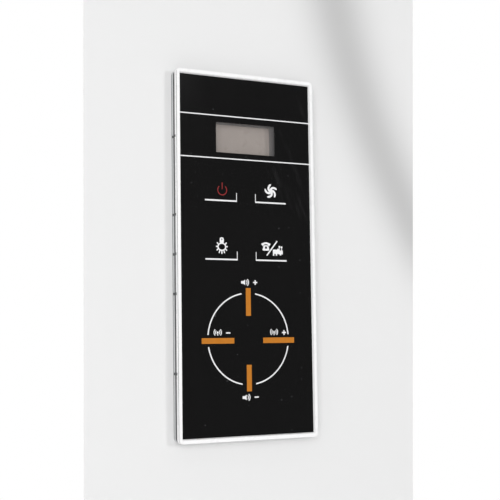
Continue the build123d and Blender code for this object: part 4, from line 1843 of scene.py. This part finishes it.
@dataclass
class DressedNodes:
    """Which finish each CAD node wears."""

    nodes: dict[str, bpy.types.Object]
    finishes: dict[str, Finish] = field(default_factory=lambda: {
        "rear_case": Finishes.CASE,
        "cable_grommet": Finishes.RUBBER,
        "case_seal": Finishes.SEAM,
        "wall_seal": Finishes.FOAM,
        "front_bezel": Finishes.BEZEL,
        "clip_tongues": Finishes.BEZEL,
        "board_posts": Finishes.BEZEL,
        "face_overlay": Finishes.SHEET,
        "display_lens": Finishes.WINDOW,
        "display_shroud": Finishes.SHROUD,
        "display_glass": Finishes.DISPLAY,
        "display_backlight": Finishes.GUIDE,
        "contact_strips": Finishes.STRIP,
        "white_print": Finishes.WHITE,
        "orange_print": Finishes.ORANGE,
        "circuit_board": Finishes.BOARD,
        "board_screws": Finishes.STEEL,
        "switch_bodies": Finishes.SWITCH,
        "controller_chip": Finishes.CHIP,
        "crystal": Finishes.CAN,
        "buzzer": Finishes.SWITCH,
        "capacitors": Finishes.CAPACITOR,
        "voltage_regulator": Finishes.REGULATOR,
        "cable_header": Finishes.HEADER,
        "header_pins": Finishes.PIN,
        "clamp_screws": Finishes.STEEL,
    })

    def build(self) -> None:
        """Gives every CAD node its material."""
        worn = dict(self.finishes)
        worn |= {f"{key.value}_key": Finishes.KEY for key in Key}
        worn |= {f"{key.value}_plunger": Finishes.PLUNGER for key in Key}
        worn |= {f"{clamp.value}_clamp_nut": Finishes.BRASS for clamp in Clamp}
        worn |= {f"{clamp.value}_clamp_dog": Finishes.DOG for clamp in Clamp}
        for name, finish in worn.items():
            mesh = self.nodes[name].data
            mesh.materials.clear()
            mesh.materials.append(finish.material())
        log.info("dressed %d CAD nodes", len(worn))


# Wall, lamps and camera


@dataclass(frozen=True)
class Lamp:
    """A square area lamp that points at the panel, in metres and watts."""

    name: str
    place: Triple
    size: float
    power: float
    glossy: bool = True

    def build(self) -> None:
        """Makes the lamp, turned to the origin."""
        data = bpy.data.lights.new(self.name, "AREA")
        data.shape, data.size, data.energy = "SQUARE", self.size, self.power
        lamp = bpy.data.objects.new(self.name, data)
        bpy.context.scene.collection.objects.link(lamp)
        lamp.visible_glossy = self.glossy
        lamp.location = self.place
        lamp.rotation_euler = (-Vector(self.place)).to_track_quat("-Z", "Y").to_euler()


@dataclass
class Studio:
    """The pale wall that the panel is set in, a floor, soft lamps and the camera.

    Lengths are in metres, and the camera's turns in radians.
    """

    cut_out: Place = (0.0386, 0.0956)
    wall_half: Place = (1.6, 1.2)
    wall_depth: float = -0.00003
    wall_colour: Colour = (0.78, 0.78, 0.78)
    wall_grain_mm: float = 1.2
    wall_grain_detail: float = 4.0
    wall_grain_depth_mm: float = 0.01
    strip: Span = (-0.0963, 0.1216)
    strip_slant: float = 0.03
    strip_edge: float = 0.0005
    # Painted shadow: the parabola, X over Z, of a soft dark band across the wall.
    streak: Triple = (1.318, -0.647, 0.1372)
    shadow_band_width: float = 0.022
    shadow_band_strength: float = 0.33
    floor_drop: float = 1.2
    floor_half: float = 3.0
    floor_colour: Colour = (0.8, 0.8, 0.8)
    paint_roughness: float = 0.6
    lens: float = 82.08
    sensor: float = 36.0
    near_clip: float = 0.01
    camera_at: Triple = (-0.308, -0.5826, -0.0496)
    camera_turn: Triple = (-0.49362, 0.080748, 0.0131978)
    lamps: tuple[Lamp, ...] = (
        Lamp("key_lamp", (0.68, -1.6, 0.15), 0.3, 6.4, glossy=False),
        Lamp("fill_lamp", (-0.84, -1.73, 0.12), 1.4, 21.2),
        Lamp("corner_lamp", (0.53, -1.445, 0.5), 0.14, 0.05),
        Lamp("back_key_lamp", (-0.9, 1.2, 0.9), 1.0, 14.0),
        Lamp("back_fill_lamp", (1.1, 1.1, -0.2), 1.2, 6.0),
    )
    dim_way: Triple = (0.5, -0.86, 0.02)
    dim_edge: Span = (0.55, 0.97)
    dim_light: float = 0.1
    room_light: float = 0.62
    backdrop: float = 0.9

    def with_painted_shadow(self, sketch: Sketch) -> Socket:
        """The wall's colour, with a soft painted shadow band.

        The painted shadow band follows a parabola, X over Z, and fades as the bell curve exp(-(u / w)^2)
        of the distance u across it.

        Args:
            sketch: the paint's nodes.

        Returns:
            The colour's socket.
        """
        x, _, z = sketch.axes()
        bend, slope, start = self.streak
        middle = sketch.maths("MULTIPLY_ADD", sketch.maths("MULTIPLY_ADD", z, bend, slope), z, start)
        off = sketch.maths("DIVIDE", sketch.maths("SUBTRACT", x, middle), self.shadow_band_width)
        bell = sketch.maths("EXPONENT", sketch.maths("MULTIPLY", sketch.maths("MULTIPLY", off, off), -1.0))
        # How much painted shadow darkens the wall at each point.
        shadow_share = sketch.maths("MULTIPLY", bell, self.shadow_band_strength)
        return sketch.blend(shadow_share, self.wall_colour, (0.0, 0.0, 0.0))

    def beside_strip(self, sketch: Sketch) -> Socket:
        """Where the wall is plain white: beside the strip, for what the camera and mirrors see.

        Args:
            sketch: the paint's nodes.

        Returns:
            1 where it is white, and 0 elsewhere.
        """
        x, _, z = sketch.axes()
        low, high = self.strip
        left = sketch.step(x, low - self.strip_edge, low, 1.0, 0.0)
        across = sketch.maths("SUBTRACT", x, sketch.maths("MULTIPLY", z, self.strip_slant))
        right = sketch.step(across, high, high + self.strip_edge)
        path = sketch.node("ShaderNodeLightPath").outputs
        mirrored = sketch.maths("MAXIMUM", path["Is Glossy Ray"], path["Is Transmission Ray"])
        seen = sketch.maths("MAXIMUM", path["Is Camera Ray"], mirrored)
        return sketch.maths("MULTIPLY", sketch.maths("MAXIMUM", left, right), seen)

    def wall_paint(self) -> bpy.types.Material:
        """The wall's paint: a pale strip with a soft painted shadow band, white beside it, and open from
        behind.

        Returns:
            The material.
        """
        sketch = Sketch("wall_paint")
        sketch.set(Base_Color=self.with_painted_shadow(sketch), Roughness=self.paint_roughness)
        grain = sketch.noise(self.wall_grain_mm, self.wall_grain_detail)
        sketch.bump(grain, self.wall_grain_depth_mm)
        white = sketch.node("ShaderNodeEmission", {"Color": (1.0, 1.0, 1.0, 1.0), "Strength": 1.0})
        glow, painted = self.beside_strip(sketch), sketch.shader.outputs["BSDF"]
        front = sketch.node("ShaderNodeMixShader", {0: glow, 1: painted, 2: white.outputs["Emission"]})
        behind = sketch.node("ShaderNodeNewGeometry").outputs["Backfacing"]
        clear = sketch.node("ShaderNodeBsdfTransparent").outputs["BSDF"]
        both = sketch.node("ShaderNodeMixShader", {0: behind, 1: front.outputs["Shader"], 2: clear})
        sketch.feed(sketch.tree.nodes["Material Output"].inputs["Surface"], both.outputs["Shader"])
        return sketch.material

    def surface(self, name: str, points: Array, quads: Array, paint: bpy.types.Material) -> None:
        """Makes a stage surface.

        Args:
            name: the surface's name.
            points: (n, 3) points in metres.
            quads: (m, 4) corners by point number.
            paint: its material.
        """
        mesh = bpy.data.meshes.new(name)
        mesh.from_pydata(points.tolist(), [], quads.tolist())
        mesh.materials.append(paint)
        made = bpy.data.objects.new(name, mesh)
        bpy.context.scene.collection.objects.link(made)

    def build_wall(self) -> None:
        """The wall: a ring of four quads between the cut-out and a wide rectangle, facing out."""
        rings = np.concatenate([SQUARE * self.wall_half, SQUARE * self.cut_out])
        points = np.insert(rings, 1, self.wall_depth, axis=1)
        self.surface("cabin_wall", points, grid_quads(2, 4, False, True)[:, ::-1], self.wall_paint())

    def build_floor(self) -> None:
        """A plain pale floor, far below the panel."""
        paint = Finish("floor_paint", self.floor_colour, self.paint_roughness).material()
        points = np.insert(SQUARE * self.floor_half, 2, -self.floor_drop, axis=1)
        self.surface("floor", points, np.array([[0, 1, 2, 3]]), paint)

    def build_world(self) -> None:
        """A pale room with one dim side, which the camera sees as a plain pale background."""
        world = bpy.data.worlds.new("studio")
        world.use_nodes = True
        nodes = Nodes(world.node_tree)
        inputs = {0: nodes.coordinates["Generated"], 1: Vector(self.dim_way).normalized()}
        turn = nodes.node("ShaderNodeVectorMath", inputs, operation="DOT_PRODUCT").outputs["Value"]
        room = nodes.step(turn, *self.dim_edge, self.room_light, self.dim_light)
        seen = nodes.node("ShaderNodeLightPath").outputs["Is Camera Ray"]
        inputs = {"Value": seen, "To Min": room, "To Max": self.backdrop}
        level = nodes.node("ShaderNodeMapRange", inputs).outputs["Result"]
        back = nodes.tree.nodes["Background"].inputs
        nodes.feed(back["Color"], (1.0, 1.0, 1.0, 1.0))
        nodes.feed(back["Strength"], level)
        bpy.context.scene.world = world

    def build_camera(self) -> None:
        """The camera, from three turns: about Z, then its own X, then its own line of sight."""
        matrix = Matrix.Identity(3)
        for angle, axis in zip(self.camera_turn, "ZXY"):
            matrix = matrix @ Matrix.Rotation(angle, 3, axis)
        right, ahead, up = (matrix.col[k] for k in range(3))
        data = bpy.data.cameras.new("camera")
        data.sensor_width, data.lens, data.clip_start = self.sensor, self.lens, self.near_clip
        camera = bpy.data.objects.new("camera", data)
        bpy.context.scene.collection.objects.link(camera)
        facing = Matrix((right, up, -ahead)).transposed().to_4x4()
        camera.matrix_world = Matrix.Translation(self.camera_at) @ facing
        bpy.context.scene.camera = camera

    def build(self) -> None:
        """Makes the stage, the light and the camera."""
        self.build_wall()
        self.build_floor()
        self.build_world()
        self.build_camera()
        for lamp in self.lamps:
            lamp.build()
        bpy.context.scene.view_settings.view_transform = "Standard"


def main() -> None:
    """Loads the frame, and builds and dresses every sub-assembly."""
    logging.basicConfig(level=logging.INFO, format="%(name)s: %(message)s")
    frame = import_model()
    DressedNodes(frame["nodes"]).build()
    chip_at = tuple(np.mean(node_box("controller_chip"), axis=0)[[0, 2]])
    FaceSigns(node_box("face_overlay")[0][1]).build()
    Fasteners().build()
    FoamSealAndShadeStrip().build()
    BoardDetail(node_box("circuit_board")[1][1], chip_at).build()
    CaseRelief(node_box("rear_case")[1][1]).build()
    Studio().build()


if __name__ == "__main__":
    main()
